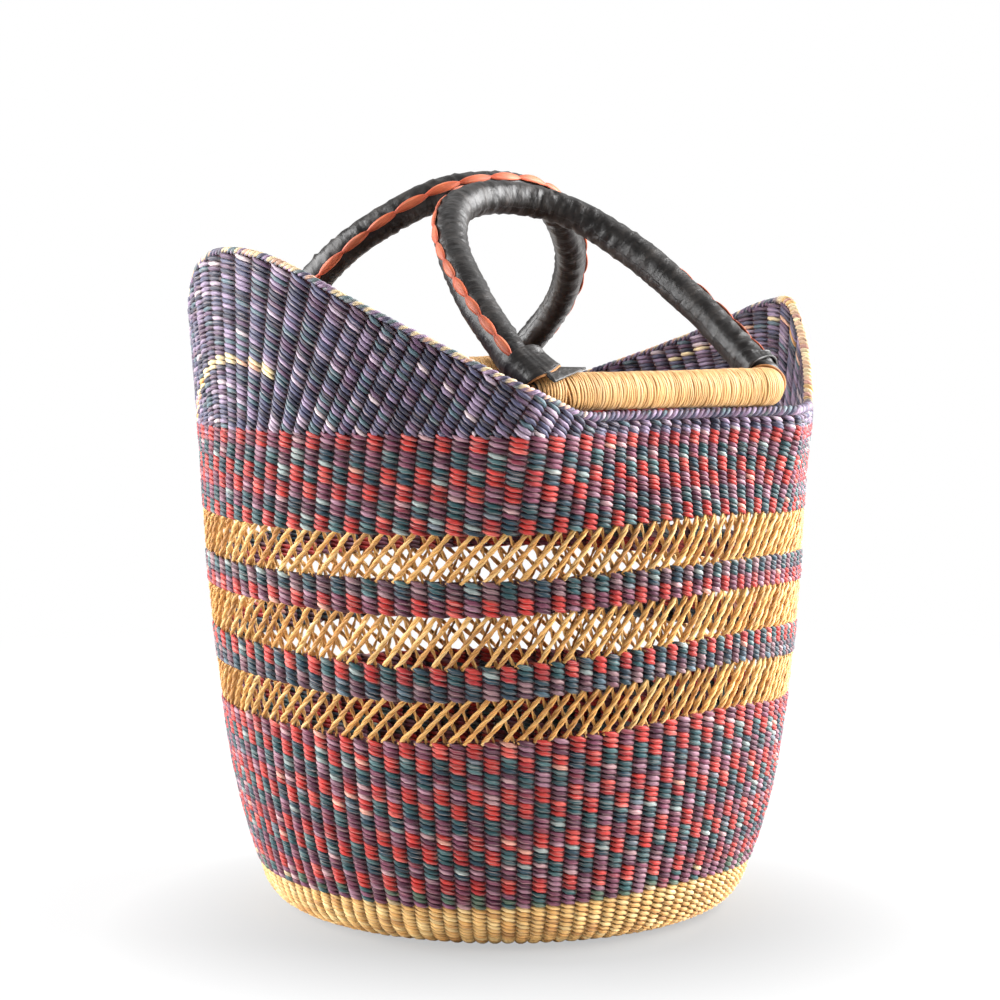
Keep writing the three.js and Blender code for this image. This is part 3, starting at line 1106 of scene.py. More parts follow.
@dataclass
class TwinedWall:
    """The four bands of colour blocks."""

    finish: bpy.types.Material
    bands: tuple[Band, ...] = BANDS

    def build(self) -> None:
        """Weave each band."""
        for band in self.bands:
            self.weave(band, *span_of(band.node, 2))

    def weave(self, band: Band, low: float, high: float) -> None:
        """Weave one band in as many pieces as it needs, and its stakes.

        Args:
            band: The band.
            low: Its lowest height.
            high: Its highest height.
        """
        pitch = (high - low) / band.rows
        rows_in_block = band.rows // len(band.blocks)
        rows_in_part = band.rows // band.parts
        pot = DyePot(band.seed)
        twining = Twining(pot)
        surface = WallSurface(band.packed)
        index, u = twining.samples(STAKES)
        for part in range(band.parts):
            batch = StrandBatch(sides=6)
            for row in range(part * rows_in_part, (part + 1) * rows_in_part):
                even, odd = band.blocks[row // rows_in_block]
                m = np.full(len(u), high - (row + 0.5) * pitch)
                colours = (pot.draw(even, STAKES), pot.draw(odd, STAKES))
                twining.row(batch, surface, index, u, m, pitch, colours)
            name = f"{band.node}_twining_{part + 1}"
            finish_piece(batch.build(name), self.finish, BASKET, [band.node])
        spans = [(low, high, max(3, round((high - low) / (10 * MM))))] * STAKES
        ribs = Ribs().piece(f"{band.node}_stakes", surface, pot.draw(Dye.SHADOW, STAKES), spans)
        finish_piece(ribs, self.finish, BASKET, [band.node])


@dataclass(frozen=True)
class StrandLayer:
    """One layer of slanted two-ply strands, at a depth outwards from the wall's middle.

    A strand moves round by drop stakes from top to bottom. Each ply has the radius ply, and the pitch is
    the length of one turn of the twist.
    """

    name: str
    drop: float
    depth: float
    ply: float
    pitch: float
    sides: int
    seed: int


STRAND_LAYERS = (
    StrandLayer("front", drop=-2.5, depth=1.4 * MM, ply=0.98 * MM, pitch=19 * MM, sides=6, seed=31),
    StrandLayer("rear", drop=1.2, depth=-1.1 * MM, ply=0.72 * MM, pitch=15 * MM, sides=5, seed=41),
)


@dataclass
class Openwork:
    """Natural straw stakes left bare between bands, twisted and crossing with see-through diamonds."""

    finish: bpy.types.Material
    nodes: tuple[str, ...] = ("openwork_upper", "openwork_middle", "openwork_lower")
    layers: tuple[StrandLayer, ...] = STRAND_LAYERS
    surface: WallSurface = field(default_factory=WallSurface)
    lap: float = 1.6 * MM
    steps_per_turn: int = 9
    sway: float = 0.13
    sinking_share: float = 0.12

    def build(self) -> None:
        """Make the front and the rear layer of each zone."""
        for number, node in enumerate(self.nodes):
            for layer in self.layers:
                self.weave(node, layer, DyePot(layer.seed + number))

    def weave(self, node: str, layer: StrandLayer, pot: DyePot) -> None:
        """Add one layer to a zone.

        Args:
            node: CAD node that the zone replaces.
            layer: The layer.
            pot: Its colours and small departures.
        """
        low, high = span_of(node, 2)
        batch = StrandBatch(sides=layer.sides)
        length = math.hypot(high - low, layer.drop * TURN * SHAPE.mouth_radius / STAKES)
        steps = round(self.steps_per_turn * length / layer.pitch)
        t = np.linspace(0, 1, steps)
        for stake in range(STAKES):
            sway = pot.wander(3, self.sway)
            u = stake + sway[0] + (layer.drop + sway[1]) * t + sway[2] * np.sin(math.pi * t)
            m = high + self.lap - t * (high - low + 2 * self.lap)
            p = self.surface.point(u, m)
            course = unit(np.gradient(p, axis=0))
            out = square_to(course, p * [1, 1, 0])
            side_way = np.cross(course, out)
            sunk = smooth(np.minimum(t, 1 - t) / self.sinking_share)[:, None]
            p = p + out * (layer.depth + 0.2 * MM * sway[0]) * sunk
            shades = pot.draw(Dye.BARE, 2, 0.16)
            start = pot.wander(1, math.pi)[0]
            turns = length / layer.pitch * (1 + 0.25 * sway[1])
            fat = layer.ply * (1 + 0.5 * sway[2])
            size = np.full(steps, fat)
            for strand in (0, 1):
                phase = start + TURN * turns * t + math.pi * strand
                radial, around = turned(out, side_way, phase)
                dye = np.tile(shades[strand], (steps, 1))
                batch.add(p + radial * fat * 0.72, radial, around, size, size * 1.15, dye)
        name = f"{node}_{layer.name}_strands"
        finish_piece(batch.build(name), self.finish, BASKET, [node])


@dataclass
class WovenBase:
    """Natural straw underside and its edge that turns up into the wall."""

    finish: bpy.types.Material
    node: str = "woven_base"
    side_pitch: float = 2.95 * MM
    under_pitch: float = 3.0 * MM
    hub_radius: float = 1.5 * MM
    rounds: tuple[tuple[float, int], ...] = (
        (0.127, 112), (0.086, 56), (0.043, 28), (0.021, 14), (0.0105, 8),
    )  # outer radius of each part of the underside, and the number of its stakes
    short_stakes: float = 0.6
    seed: int = 51
    surface: BaseSurface = field(default_factory=BaseSurface)

    def build(self) -> None:
        """Weave the side, the underside and the stakes."""
        pot = DyePot(self.seed)
        twining = Twining(pot, depth=1.5 * MM, thickness=1.15 * MM, half_height=0.54, darkest_painted_shade=0.55)
        inwards, reach = -self.surface.profile[:, 0], self.surface.reach
        edge = float(np.interp(-self.rounds[0][0], inwards, reach))
        end = float(np.interp(-self.hub_radius, inwards, reach))
        side_rows = round(edge / self.side_pitch)
        levels = [(-(k + 0.5) * edge / side_rows, edge / side_rows) for k in range(side_rows)]
        self.rows(twining, levels, "side")
        under_rows = round((end - edge) / self.under_pitch)
        levels = [(-edge - (k + 0.5) * self.under_pitch, self.under_pitch) for k in range(under_rows)]
        self.rows(twining, levels, "underside")
        reaches = [end if stake % 8 == 0 else self.short_stakes * end for stake in range(STAKES)]
        spans = [(-reach, 0.0, 14) for reach in reaches]
        dyes = pot.draw(Dye.STRAW_SHADOW, STAKES)
        ribs = Ribs(cover=0.8).piece(f"{self.node}_stakes", self.surface, dyes, spans)
        finish_piece(ribs, self.finish, BASKET, [self.node])

    def rows(self, twining: Twining, levels: list[tuple[float, float]], name: str) -> None:
        """Weave rows below the edge's top.

        Args:
            twining: The weave.
            levels: Length and pitch of each row.
            name: Word for the piece's name.
        """
        batch = StrandBatch()
        for level, pitch in levels:
            radius = float(self.surface.radius(np.array(level)))
            stakes = min(count for outer, count in self.rounds if radius <= outer or count == STAKES)
            index, u = twining.samples(stakes)
            colours = (twining.pot.draw(Dye.STRAW, stakes), twining.pot.draw(Dye.STRAW, stakes))
            m = np.full(len(u), level)
            twining.row(batch, self.surface, index, u, m, pitch, colours, stakes=stakes)
        piece = batch.build(f"{self.node}_{name}_twining")
        finish_piece(piece, self.finish, BASKET, [self.node])


@dataclass
class WingWeave:
    """Mottled weave of the two wings, whose rows follow the rim."""

    finish: bpy.types.Material
    node: str = "wing_wall"
    pitch: float = 2.9 * MM
    fleck_row: int = 20
    fleck_reach: tuple[float, float] = (-11, 2)
    inner_fleck_row: int = 3
    inner_fleck_reach: tuple[float, float] = (3, 28)
    seed: int = 61
    surface: WingSurface = field(default_factory=WingSurface)

    def build(self) -> None:
        """Weave the rows that reach each wing, in two pieces, and the stakes."""
        pot = DyePot(self.seed)
        twining = Twining(pot)
        index, u = twining.samples(STAKES)
        length = self.surface.rim_length(u)
        halves = {"left": StrandBatch(sides=6), "right": StrandBatch(sides=6)}
        for row in range(math.ceil(length.max() / self.pitch)):
            below = (row + 0.5) * self.pitch
            colours = (self.colours(pot, row), self.colours(pot, row))
            for run in self.runs(length >= below - self.pitch / 2):
                place = np.unwrap(u[run] * TURN / STAKES) * STAKES / TURN
                m = np.maximum(length[run] - below, 0.1 * MM)
                middle = float(np.median(place)) % STAKES
                side = "left" if STAKES / 4 < middle < STAKES * 3 / 4 else "right"
                closed = len(run) == len(u)
                twining.row(
                    halves[side], self.surface, index[run], place, m, self.pitch, colours, closed
                )
        for side, batch in halves.items():
            piece = batch.build(f"{self.node}_{side}_twining")
            finish_piece(piece, self.finish, BASKET, [self.node])
        self.ribs(pot)

    def colours(self, pot: DyePot, row: int) -> Array:
        """Colours of one strand's stitches in a row.

        Args:
            pot: The colours.
            row: Number of the row, from the rim down.

        Returns:
            One colour a stitch.
        """
        plain, flecked = pot.draw(Dye.WING, STAKES), pot.draw(Dye.WING_FLECKED, STAKES)
        stake = np.arange(STAKES)
        left, right = (wing.crest * STAKES / 360 for wing in SHAPE.wings)
        chosen = np.zeros(STAKES, bool)
        if row in (self.fleck_row, self.fleck_row + 1):
            off = stake - left
            chosen |= (off > self.fleck_reach[0]) & (off < self.fleck_reach[1])
        if row == self.inner_fleck_row:
            off = (stake - right + STAKES / 2) % STAKES - STAKES / 2
            chosen |= (off > self.inner_fleck_reach[0]) & (off < self.inner_fleck_reach[1])
        return np.where(chosen[:, None], flecked, plain)

    def runs(self, there: Array) -> list[Array]:
        """Unbroken stretches of a row.

        Args:
            there: True for each sample that the row reaches.

        Returns:
            Sample numbers of each stretch.
        """
        n = len(there)
        if there.all():
            return [np.arange(n)]
        start = int(np.argmin(there))
        order = (np.arange(n) + start) % n
        breaks = np.flatnonzero(np.diff(there[order].astype(int))) + 1
        stretches = np.split(order, breaks)
        return [s for s in stretches if there[s[0]] and len(s) > 3]

    def ribs(self, pot: DyePot) -> None:
        """Put the stakes inside the wings.

        Args:
            pot: Their colours.
        """
        dyes = pot.draw(Dye.SHADOW, STAKES)
        tops = [float(self.surface.rim_length(np.array(float(stake)))) for stake in range(STAKES)]
        spans = [(0.0, top + MM, max(3, round(top / (8 * MM)))) for top in tops]
        piece = Ribs().piece(f"{self.node}_stakes", self.surface, dyes, spans)
        finish_piece(piece, self.finish, BASKET, [self.node])


@dataclass
class RimBorder:
    """Three-strand plait that finishes the rim, cream outside and slate inside."""

    finish: bpy.types.Material
    node: str = "rim_border"
    ply: float = 1.25 * MM
    offset: float = 1.1 * MM
    turns: int = 112
    samples: int = 9
    cream_side: float = 1.1
    plaited_from: float = 300
    plaited_to: float = 351
    plaited_fade: float = 4
    seed: int = 71

    def build(self) -> None:
        """Lay the plait along the rim."""
        count = self.turns * self.samples
        angle = np.linspace(0, TURN, count, endpoint=False)
        for _ in range(3):
            p = SHAPE.point(angle, SHAPE.rim_height(angle))
            step = np.linalg.norm(np.roll(p, -1, axis=0) - p, axis=1)
            run = np.concatenate([[0], np.cumsum(step)])
            angle = np.interp(np.linspace(0, run[-1], count, endpoint=False), run, np.append(angle, TURN))
        slope = np.gradient(SHAPE.rim_height(angle), SHAPE.mouth_radius * angle)
        dip = 1 - smooth((SHAPE.rim_height(angle) - SHAPE.dip_height) / (4 * MM))
        plaited = self.plaited(angle)
        swelling = 1 + 0.3 * dip + 0.45 * plaited * (1 - dip)
        height = SHAPE.rim_height(angle) + (1.7 + 1.5 * dip) * MM * np.hypot(1, slope)
        p = SHAPE.point(angle, height)
        course = unit(np.roll(p, -1, axis=0) - np.roll(p, 1, axis=0))
        flat = np.stack([np.cos(angle), np.sin(angle), 0 * angle], -1)
        out = square_to(course, flat)
        up = np.cross(out, course)
        pot = DyePot(self.seed)
        batch = StrandBatch(sides=6)
        t = np.arange(count) / self.samples
        for strand in range(3):
            phase = TURN * (t + strand / 3)
            radial, around = turned(out, up, phase)
            number = np.round(t + strand / 3).astype(int) % self.turns
            cream, mixed = pot.draw(Dye.CREAM, self.turns), pot.draw(Dye.MIXED, self.turns)
            dark = pot.draw(Dye.SLATE, self.turns)[number]
            light = mixed[number] + (cream[number] - mixed[number]) * plaited[:, None]
            light = light + (pot.draw(Dye.WING, self.turns)[number] - light) * dip[:, None]
            outwards = smooth((np.cos(phase - self.cream_side) - 0.1) / 0.6)[:, None]
            size = self.ply * (1 + 0.1 * pot.wander(self.turns, 1.0)[number]) * swelling
            dye = dark + (light - dark) * np.maximum(outwards, plaited[:, None])
            lay = p + radial * (self.offset * swelling)[:, None]
            batch.add(lay, radial, around, size, size * 1.15, dye, closed=True)
        finish_piece(batch.build("rim_border_plait"), self.finish, BASKET, [self.node])

    def plaited(self, angle: Array) -> Array:
        """Where the plait is all straw, on the near slope of the right wing.

        Args:
            angle: Direction round the basket.

        Returns:
            One there, and zero elsewhere.
        """
        degrees = np.degrees(angle) % 360
        begun = smooth((degrees - self.plaited_from) / self.plaited_fade)
        return begun * smooth((self.plaited_to - degrees) / self.plaited_fade)


# Bindings and handles


@dataclass
class HandlePath:
    """Centre line of a handle's ring over its rod, as points x, v of the arch's plane."""

    shape: HandleShape
    elbow: float = 0.0105
    elbow_steps: int = 4
    keeper_start: float = 0.016
    keeper_end: float = 0.036
    arch_steps: int = 9

    def arch_x(self, v: Array) -> Array:
        """Half width of the arch.

        Args:
            v: Height over the rod, in the arch's plane.

        Returns:
            The half width.
        """
        shape = self.shape
        share = np.clip(v / shape.rise, 0, 1)
        wide = shape.half_span + shape.flare * np.sin(math.pi * share)
        return (1 - share**shape.power) ** (1 / shape.power) * wide

    def points(self) -> Array:
        """Centre line over the arch.

        Returns:
            Points from the rod's right end over the arch to its left end.
        """
        a = np.linspace(0, TURN / 4, self.elbow_steps + 1)
        x = self.shape.half_span - self.elbow * (1 - np.sin(a))
        bend = np.stack([x, self.elbow * (1 - np.cos(a))], -1)
        span = self.shape.rise - self.keeper_end
        high = self.keeper_end + span * np.sin(np.arange(1, self.arch_steps) * TURN / 4 / self.arch_steps)
        v = np.concatenate([[self.keeper_start, self.keeper_end], high])
        right = np.concatenate([bend, np.stack([self.arch_x(v), v], -1)])
        crown = np.array([[0.0, self.shape.rise]])
        return np.concatenate([right, crown, (right * [-1, 1])[::-1]])

    def matrix(self) -> Matrix:
        """Placement of the arch's plane, whose points are x, 0, v."""
        lean = Matrix.Rotation(self.shape.side * math.radians(self.shape.lean), 4, "X")
        return Matrix.Translation(SHAPE.rod_point(self.shape.side, self.shape.centre)) @ lean


def deselect_all() -> None:
    """Clear the selection."""
    bpy.ops.object.select_all(action="DESELECT")


def named_object(name: str) -> bpy.types.Object:
    """Name the object that an operator has just added, and apply its placement.

    Args:
        name: The name.

    Returns:
        The object.
    """
    obj = bpy.context.object
    obj.name = obj.data.name = name
    bpy.ops.object.transform_apply(location=True, rotation=True, scale=True)
    return obj


def apply_modifiers(obj: bpy.types.Object) -> None:
    """Apply a piece's modifiers in order.

    Args:
        obj: The piece.
    """
    deselect_all()
    obj.select_set(True)
    bpy.context.view_layer.objects.active = obj
    for modifier in list(obj.modifiers):
        bpy.ops.object.modifier_apply(modifier=modifier.name)


def round_edges(obj: bpy.types.Object, width: float, segments: int, sharp: float) -> None:
    """Bevel a piece's edges after its other modifiers, and smooth it.

    Args:
        obj: The piece.
        width: Width of the bevel.
        segments: Its segments.
        sharp: Angle in degrees up to which faces are smooth.
    """
    rounding = obj.modifiers.new("rounding", "BEVEL")
    rounding.width, rounding.segments, rounding.limit_method = width, segments, "ANGLE"
    apply_modifiers(obj)
    bpy.ops.object.shade_smooth_by_angle(angle=math.radians(sharp))


def raw_ring(
    name: str, major: float, minor: float, place: Point | Vector, tilt: float
) -> bpy.types.Object:
    """Add the ring of a leather tube's raw edge, square to a leg.

    Args:
        name: The piece's name.
        major: Radius of the ring.
        minor: Radius of the edge.
        place: Middle of the ring.
        tilt: Lean of the leg.

    Returns:
        The ring.
    """
    deselect_all()
    bpy.ops.mesh.primitive_torus_add(
        major_segments=48, minor_segments=8, major_radius=major, minor_radius=minor,
        location=place, rotation=(0, tilt, 0),
    )
    return named_object(name)


def sweep(name: str, path: Array, radii: Array, sides: int) -> bpy.types.Object:
    """Draw a tube in the plane y = 0 by extruding a disc along a path.

    Args:
        name: The piece's name.
        path: Points x, z of the centre line, starting towards +X.
        radii: Radius at each point.
        sides: Sides of the tube.

    Returns:
        The closed tube.
    """
    deselect_all()
    start = (path[0, 0], 0.0, path[0, 1])
    bpy.ops.mesh.primitive_circle_add(
        vertices=sides, radius=radii[0], fill_type="NGON", location=start, rotation=(0, TURN / 4, 0)
    )
    obj = named_object(name)
    bpy.ops.object.mode_set(mode="EDIT")
    bpy.ops.mesh.select_all(action="SELECT")
    steps = np.diff(path, axis=0)
    heading = np.unwrap(np.arctan2(steps[:, 1], steps[:, 0]))
    at_points = np.concatenate([[0.0], (heading[1:] + heading[:-1]) / 2, [heading[-1]]])
    for k, step in enumerate(steps):
        move = {"value": (step[0], 0.0, step[1])}
        bpy.ops.mesh.extrude_region_move(TRANSFORM_OT_translate=move)
        centre = (path[k + 1, 0], 0.0, path[k + 1, 1])
        turn = at_points[k + 1] - at_points[k]
        bpy.ops.transform.rotate(value=turn, orient_axis="Y", center_override=centre)
        grown = radii[k + 1] / radii[k]
        bpy.ops.transform.resize(value=(grown, grown, grown), center_override=centre)
    bpy.ops.mesh.select_all(action="SELECT")
    bpy.ops.mesh.normals_make_consistent(inside=False)
    bpy.ops.object.mode_set(mode="OBJECT")
    return obj


@dataclass(frozen=True)
class LegBand:
    """Leather band round a leg in the arch's plane, with side 1 for the right leg and -1 for the left."""

    side: int
    middle: Point
    tilt: float
    length: float = 0.0

    @property
    def turn(self) -> Matrix:
        """Rotation from the band's own axes to the leg's lean."""
        return Matrix.Rotation(self.tilt, 4, "Y")


@dataclass(frozen=True)
class StrawEnd:
    """Last turns of straw over an elbow: their reach along the rod, number and bluntness."""

    word: str
    reach: float
    turns: int
    blunt: float


STRAW_ENDS = {
    1: StrawEnd("right", reach=15.7 * MM, turns=11, blunt=5),
    -1: StrawEnd("left", reach=17.7 * MM, turns=10, blunt=2.8),
}


@dataclass
class Handle:
    """One handle: leather cover, orange lacing, keepers and the ends of the straw binding."""

    shape: HandleShape
    leather: bpy.types.Material
    lace: bpy.types.Material
    edge: bpy.types.Material
    straw: bpy.types.Material
    core: bpy.types.Material
    leather_radius: float = 0.0102
    sides: int = 14
    wrinkle: float = 0.24 * MM
    folds: int = 44
    fold_lengths: tuple[float, float] = (4 * MM, 13 * MM)
    fold_turns: int = 6
    fold_spread: float = 4.7  # usual height of so many waves added up
    fold_power: float = 1.3
    even_end: float = 12 * MM
    fold_seed: int = 81
    link_length: float = 20 * MM
    link_half_width: float = 3.1 * MM
    link_half_height: float = 1.1 * MM
    lace_ends: tuple[float, float] = (0.026, 0.031)
    lace_colour: str = "#b84c2e"
    # paler colour painted on the middle of each link as a highlight
    lace_highlight: str = "#d08058"
    lace_seed: int = 91
    keeper_wall: float = 1.5 * MM
    keeper_spare: float = 0.5 * MM
    right_trim: tuple[float, float] = (3 * MM, 13 * MM)
    sleeve_spare: float = 3.3 * MM
    sleeve_heights: tuple[float, float] = (7.0 * MM, 23.5 * MM)
    sleeve_x: tuple[float, float] = (-78.4 * MM, -82.4 * MM)
    raw_edge_bend: float = 52
    tail_colour: str = "#2a2422"
    straw_seed: int = 95
    path: HandlePath = field(init=False)

    def __post_init__(self) -> None:
        """Work out the centre line."""
        self.path = HandlePath(self.shape)

    def build(self) -> None:
        """Make the handle's pieces."""
        self.cover()
        self.lacing()
        for side in (1, -1):
            self.keeper(side)
            self.straw_end(side)
        self.elbow_edge()
        if self.shape.side < 0:
            self.tail()
        core = bpy.data.objects[f"{self.shape.body}_core"]
        core.data.materials.clear()
        core.data.materials.append(self.core)
        log.info("%s: dressed as a grass bundle", core.name)

    def dense(self, count: int = 400) -> tuple[Array, Array]:
        """Evenly spaced points of the centre line.

        Args:
            count: How many.

        Returns:
            The points, and their lengths along the line.
        """
        points = self.path.points()
        run = lengths_along(points)
        knots = np.linspace(0, run[-1], count)
        rough = np.stack([np.interp(knots, run, points[:, i]) for i in (0, 1)], -1)
        kernel = np.hanning(15)[1:-1]
        kernel = kernel / kernel.sum()
        padded = np.pad(rough, ((6, 6), (0, 0)), mode="edge")
        even = np.stack([np.convolve(padded[:, i], kernel, "valid") for i in (0, 1)], -1)
        return even, knots

    def place(self, obj: bpy.types.Object) -> None:
        """Carry a mesh from the arch's plane to its place in the basket."""
        obj.data.transform(self.path.matrix())
        obj.data.update()

    def cover(self) -> None:
        """Draw the leather tube round the elbows and the arch, and crease it."""
        points = self.path.points()
        limit = (2 + math.cos(TURN / self.sides)) / 3
        radii = np.full(len(points), self.leather_radius / limit)
        obj = sweep(f"{self.shape.body}_cover", points, radii, self.sides)
        modifier = obj.modifiers.new("round", "SUBSURF")
        modifier.levels = modifier.render_levels = 3
        apply_modifiers(obj)
        self.crease(obj)
        self.place(obj)
        bpy.ops.object.shade_smooth()
        finish_piece(obj, self.leather, self.shape.body, [f"{self.shape.body}_leather"])

    def crease(self, obj: bpy.types.Object) -> None:
        """Press cross wrinkles and soft folds into the leather and note its lie.

        Args:
            obj: The cover, in the arch's plane.
        """
        line, run = self.dense()
        n = len(obj.data.vertices)
        co = np.zeros(n * 3, np.float32)
        obj.data.vertices.foreach_get("co", co)
        co = co.reshape(-1, 3).astype(float)
        nearest = np.array([np.argmin(np.sum((line - v) ** 2, 1)) for v in co[:, [0, 2]]])
        along = run[nearest]
        course = unit(np.gradient(line, axis=0))[nearest]
        normal = np.stack([course[:, 1], -course[:, 0]], -1)
        offset = co[:, [0, 2]] - line[nearest]
        around = np.arctan2(co[:, 1], np.sum(offset * normal, 1))
        rng = np.random.default_rng(self.fold_seed + self.shape.side)
        fold = np.zeros(n)
        for _ in range(self.folds):
            wave = TURN / rng.uniform(*self.fold_lengths)
            round_about = rng.integers(-self.fold_turns, self.fold_turns + 1)
            start = rng.uniform(0, TURN)
            fold += np.sin(wave * along + round_about * around + start)
        swell = 0.3 * MM * np.sin(along / (21 * MM) + 1.3)
        swell = swell + 0.2 * MM * np.sin(along / (9 * MM) + around)
        cos_a, sin_a = np.cos(around), np.sin(around)
        out = np.stack([normal[:, 0] * cos_a, sin_a, normal[:, 1] * cos_a], -1)
        ends = smooth(along / self.even_end) * smooth((run[-1] - along) / self.even_end)
        fold = np.sign(fold) * np.abs(fold / self.fold_spread) ** self.fold_power
        co += out * ((self.wrinkle * fold + swell) * ends)[:, None]
        obj.data.vertices.foreach_set("co", co.astype(np.float32).ravel())
        lie = np.stack([along, around * self.leather_radius], -1)
        set_attribute(obj.data, "grain", "FLOAT_VECTOR", "vector", lie, 0.0)
        obj.data.update()

    def lacing(self) -> None:
        """Link an orange thong along the outside of the arch."""
        line, run = self.dense()
        begin, end = self.lace_ends[0], run[-1] - self.lace_ends[1]
        count = round((end - begin) / self.link_length)
        batch = StrandBatch(sides=8)
        pot = DyePot(self.lace_seed + self.shape.side)
        course_line = unit(np.gradient(line, axis=0))
        t = np.linspace(-0.06, 1.06, 15)
        lens = np.sin(math.pi * np.clip(t, 0, 1)) ** 0.7
        highlight_colour = np.array(linear(self.lace_highlight))
        for link in range(count):
            s = begin + (end - begin) * (link + t) / count
            x, v = (np.interp(s, run, line[:, i]) for i in (0, 1))
            c = unit(np.stack([np.interp(s, run, course_line[:, i]) for i in (0, 1)], -1))
            course = np.stack([c[:, 0], 0 * s, c[:, 1]], -1)
            flat = np.stack([c[:, 1], 0 * s, -c[:, 0]], -1)
            share = s / run[-1]
            foot = self.shape.lace_foot * (1 - smooth((share - 0.12) / 0.25))
            roll = 4 + foot + self.shape.lace_turn * smooth((share - self.shape.lace_start) / 0.36)
            roll = np.radians(roll)[:, None]
            away = np.cross(course, flat)
            out = flat * np.cos(roll) - away * np.sin(roll)
            side = np.cross(course, out)
            wander = pot.wander(3, 1.0)
            tilt = (t - 0.5) * 0.5 * MM * wander[1]
            lift = self.leather_radius + 0.25 * MM + 0.5 * MM * lens * (1 + 0.2 * wander[0])
            centre = np.stack([x, 0 * x, v], -1) + out * lift[:, None] + side * tilt[:, None]
            wide = self.link_half_height * (0.62 + 0.38 * lens)
            high = self.link_half_width * (0.3 + 0.7 * lens) * (1 + 0.06 * wander[2])
            shade = np.array(linear(self.lace_colour)) * (1 + 0.16 * wander[0])
            # Painted highlight: each link turns paler towards its raised middle.
            highlight_share = (0.35 * lens**2)[:, None]
            batch.add(centre, out, side, wide, high, shade + (highlight_colour - shade) * highlight_share)
        obj = batch.build(f"{self.shape.body}_lacing_links")
        self.place(obj)
        finish_piece(obj, self.lace, self.shape.body, [f"{self.shape.body}_lacing"])

    def is_sleeve(self, side: int) -> bool:
        """True for the near handle's left leg, whose keeper is a thick sleeve over the elbow."""
        return self.shape.side < 0 and side < 0

    def keeper(self, side: int) -> None:
        """Wrap a leather band round the bottom of one leg.

        Args:
            side: 1 for the right leg and -1 for the left one.
        """
        band, spare = self.leg_band(side)
        deselect_all()
        bpy.ops.mesh.primitive_cylinder_add(
            vertices=24, radius=self.leather_radius + spare, depth=band.length, end_fill_type="NOTHING",
            location=band.middle, rotation=(0, band.tilt, 0),
        )
        node = f"{self.shape.body}_{STRAW_ENDS[side].word}_keeper"
        obj = named_object(f"{node}_wrap")
        bpy.ops.object.mode_set(mode="EDIT")
        bpy.ops.mesh.select_all(action="SELECT")
        bpy.ops.mesh.subdivide(number_cuts=5)
        bpy.ops.mesh.normals_make_consistent(inside=False)
        bpy.ops.object.mode_set(mode="OBJECT")
        self.shape_keeper(obj, band)
        wall = obj.modifiers.new("wall", "SOLIDIFY")
        wall.thickness, wall.offset = self.keeper_wall, 1.0
        round_edges(obj, 0.4 * MM, 2, 50)
        self.note_lie(obj, band)
        self.place(obj)
        finish_piece(obj, self.leather, self.shape.body, [node])
        if self.is_sleeve(side):
            self.press_flat(obj)
            self.keeper_edge(band)

    def leg_band(self, side: int) -> tuple[LegBand, float]:
        """Find where the keeper of a leg lies.

        Args:
            side: 1 for the right leg and -1 for the left one.

        Returns:
            The band, and how far it stands off the leather's radius.
        """
        low, high, spare = self.path.keeper_start, self.path.keeper_end, self.keeper_spare
        if side > 0:
            low, high = low - self.right_trim[0], high - self.right_trim[1]
        x_low, x_high = (float(self.path.arch_x(np.array(v))) * side for v in (low, high))
        if self.is_sleeve(side):
            low, high = self.sleeve_heights
            x_low, x_high = self.sleeve_x
            spare = self.sleeve_spare
        length = math.hypot(high - low, x_high - x_low)
        tilt = math.atan2(x_high - x_low, high - low)
        return LegBand(side, ((x_low + x_high) / 2, 0.0, (low + high) / 2), tilt, length), spare

    def keeper_edge(self, band: LegBand) -> None:
        """Show the raw edge of the leather along the lower end of a keeper.

        Args:
            band: Place of the keeper.
        """
        end = Vector(band.middle) + band.turn @ Vector((0, 0, -band.length / 2))
        major = self.leather_radius + 3.5 * MM
        obj = raw_ring(f"{self.shape.body}_keeper_raw_edge", major, 0.8 * MM, end, band.tilt)
        self.shape_keeper(obj, band)
        bpy.ops.object.shade_smooth()
        self.note_lie(obj, band)
        self.place(obj)
        finish_piece(obj, self.edge, self.shape.body, [])
        self.press_flat(obj)

    def elbow_edge(self) -> None:
        """Show the raw edge where the cover ends behind the straw of the right elbow."""
        bend = math.radians(self.raw_edge_bend)
        elbow = self.path.elbow
        x = self.shape.half_span - elbow * (1 - math.sin(bend)) + 1.3 * MM
        v = elbow * (1 - math.cos(bend)) + 1.1 * MM
        band = LegBand(1, (x, 0.0, v), TURN / 4 - bend)
        name = f"{self.shape.body}_elbow_raw_edge"
        obj = raw_ring(name, 11.3 * MM, 1.1 * MM, (x, 0.8 * MM, v), band.tilt)
        bpy.ops.object.shade_smooth()
        self.note_lie(obj, band)
        self.place(obj)
        finish_piece(obj, self.edge, self.shape.body, [])

    def tail(self) -> None:
        """Lay the free end of the left keeper's leather over the top of the bar."""
        t = np.linspace(0, 1, 16)
        around = math.radians(-92) + 0.34 * t
        radius = 13.2 * MM + 0.6 * MM * t
        out = np.stack([0 * t, np.sin(around), np.cos(around)], -1)
        centre = out * radius[:, None]
        centre[:, 0] = -self.shape.half_span + 29 * MM * t
        half = 7.5 * MM * (1 - t) ** 0.8 + 0.7 * MM
        dye = np.tile(linear(self.tail_colour), (len(t), 1))
        thick = np.full(len(t), 0.7 * MM)
        obj = strand_piece(f"{self.shape.body}_keeper_tail", centre, out, thick, half, dye, sides=10)
        self.place(obj)
        finish_piece(obj, self.leather, BASKET, [])

    def press_flat(self, obj: bpy.types.Object) -> None:
        """Give the sleeve its own copy of its mesh.

        Args:
            obj: The piece.
        """
        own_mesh(obj)

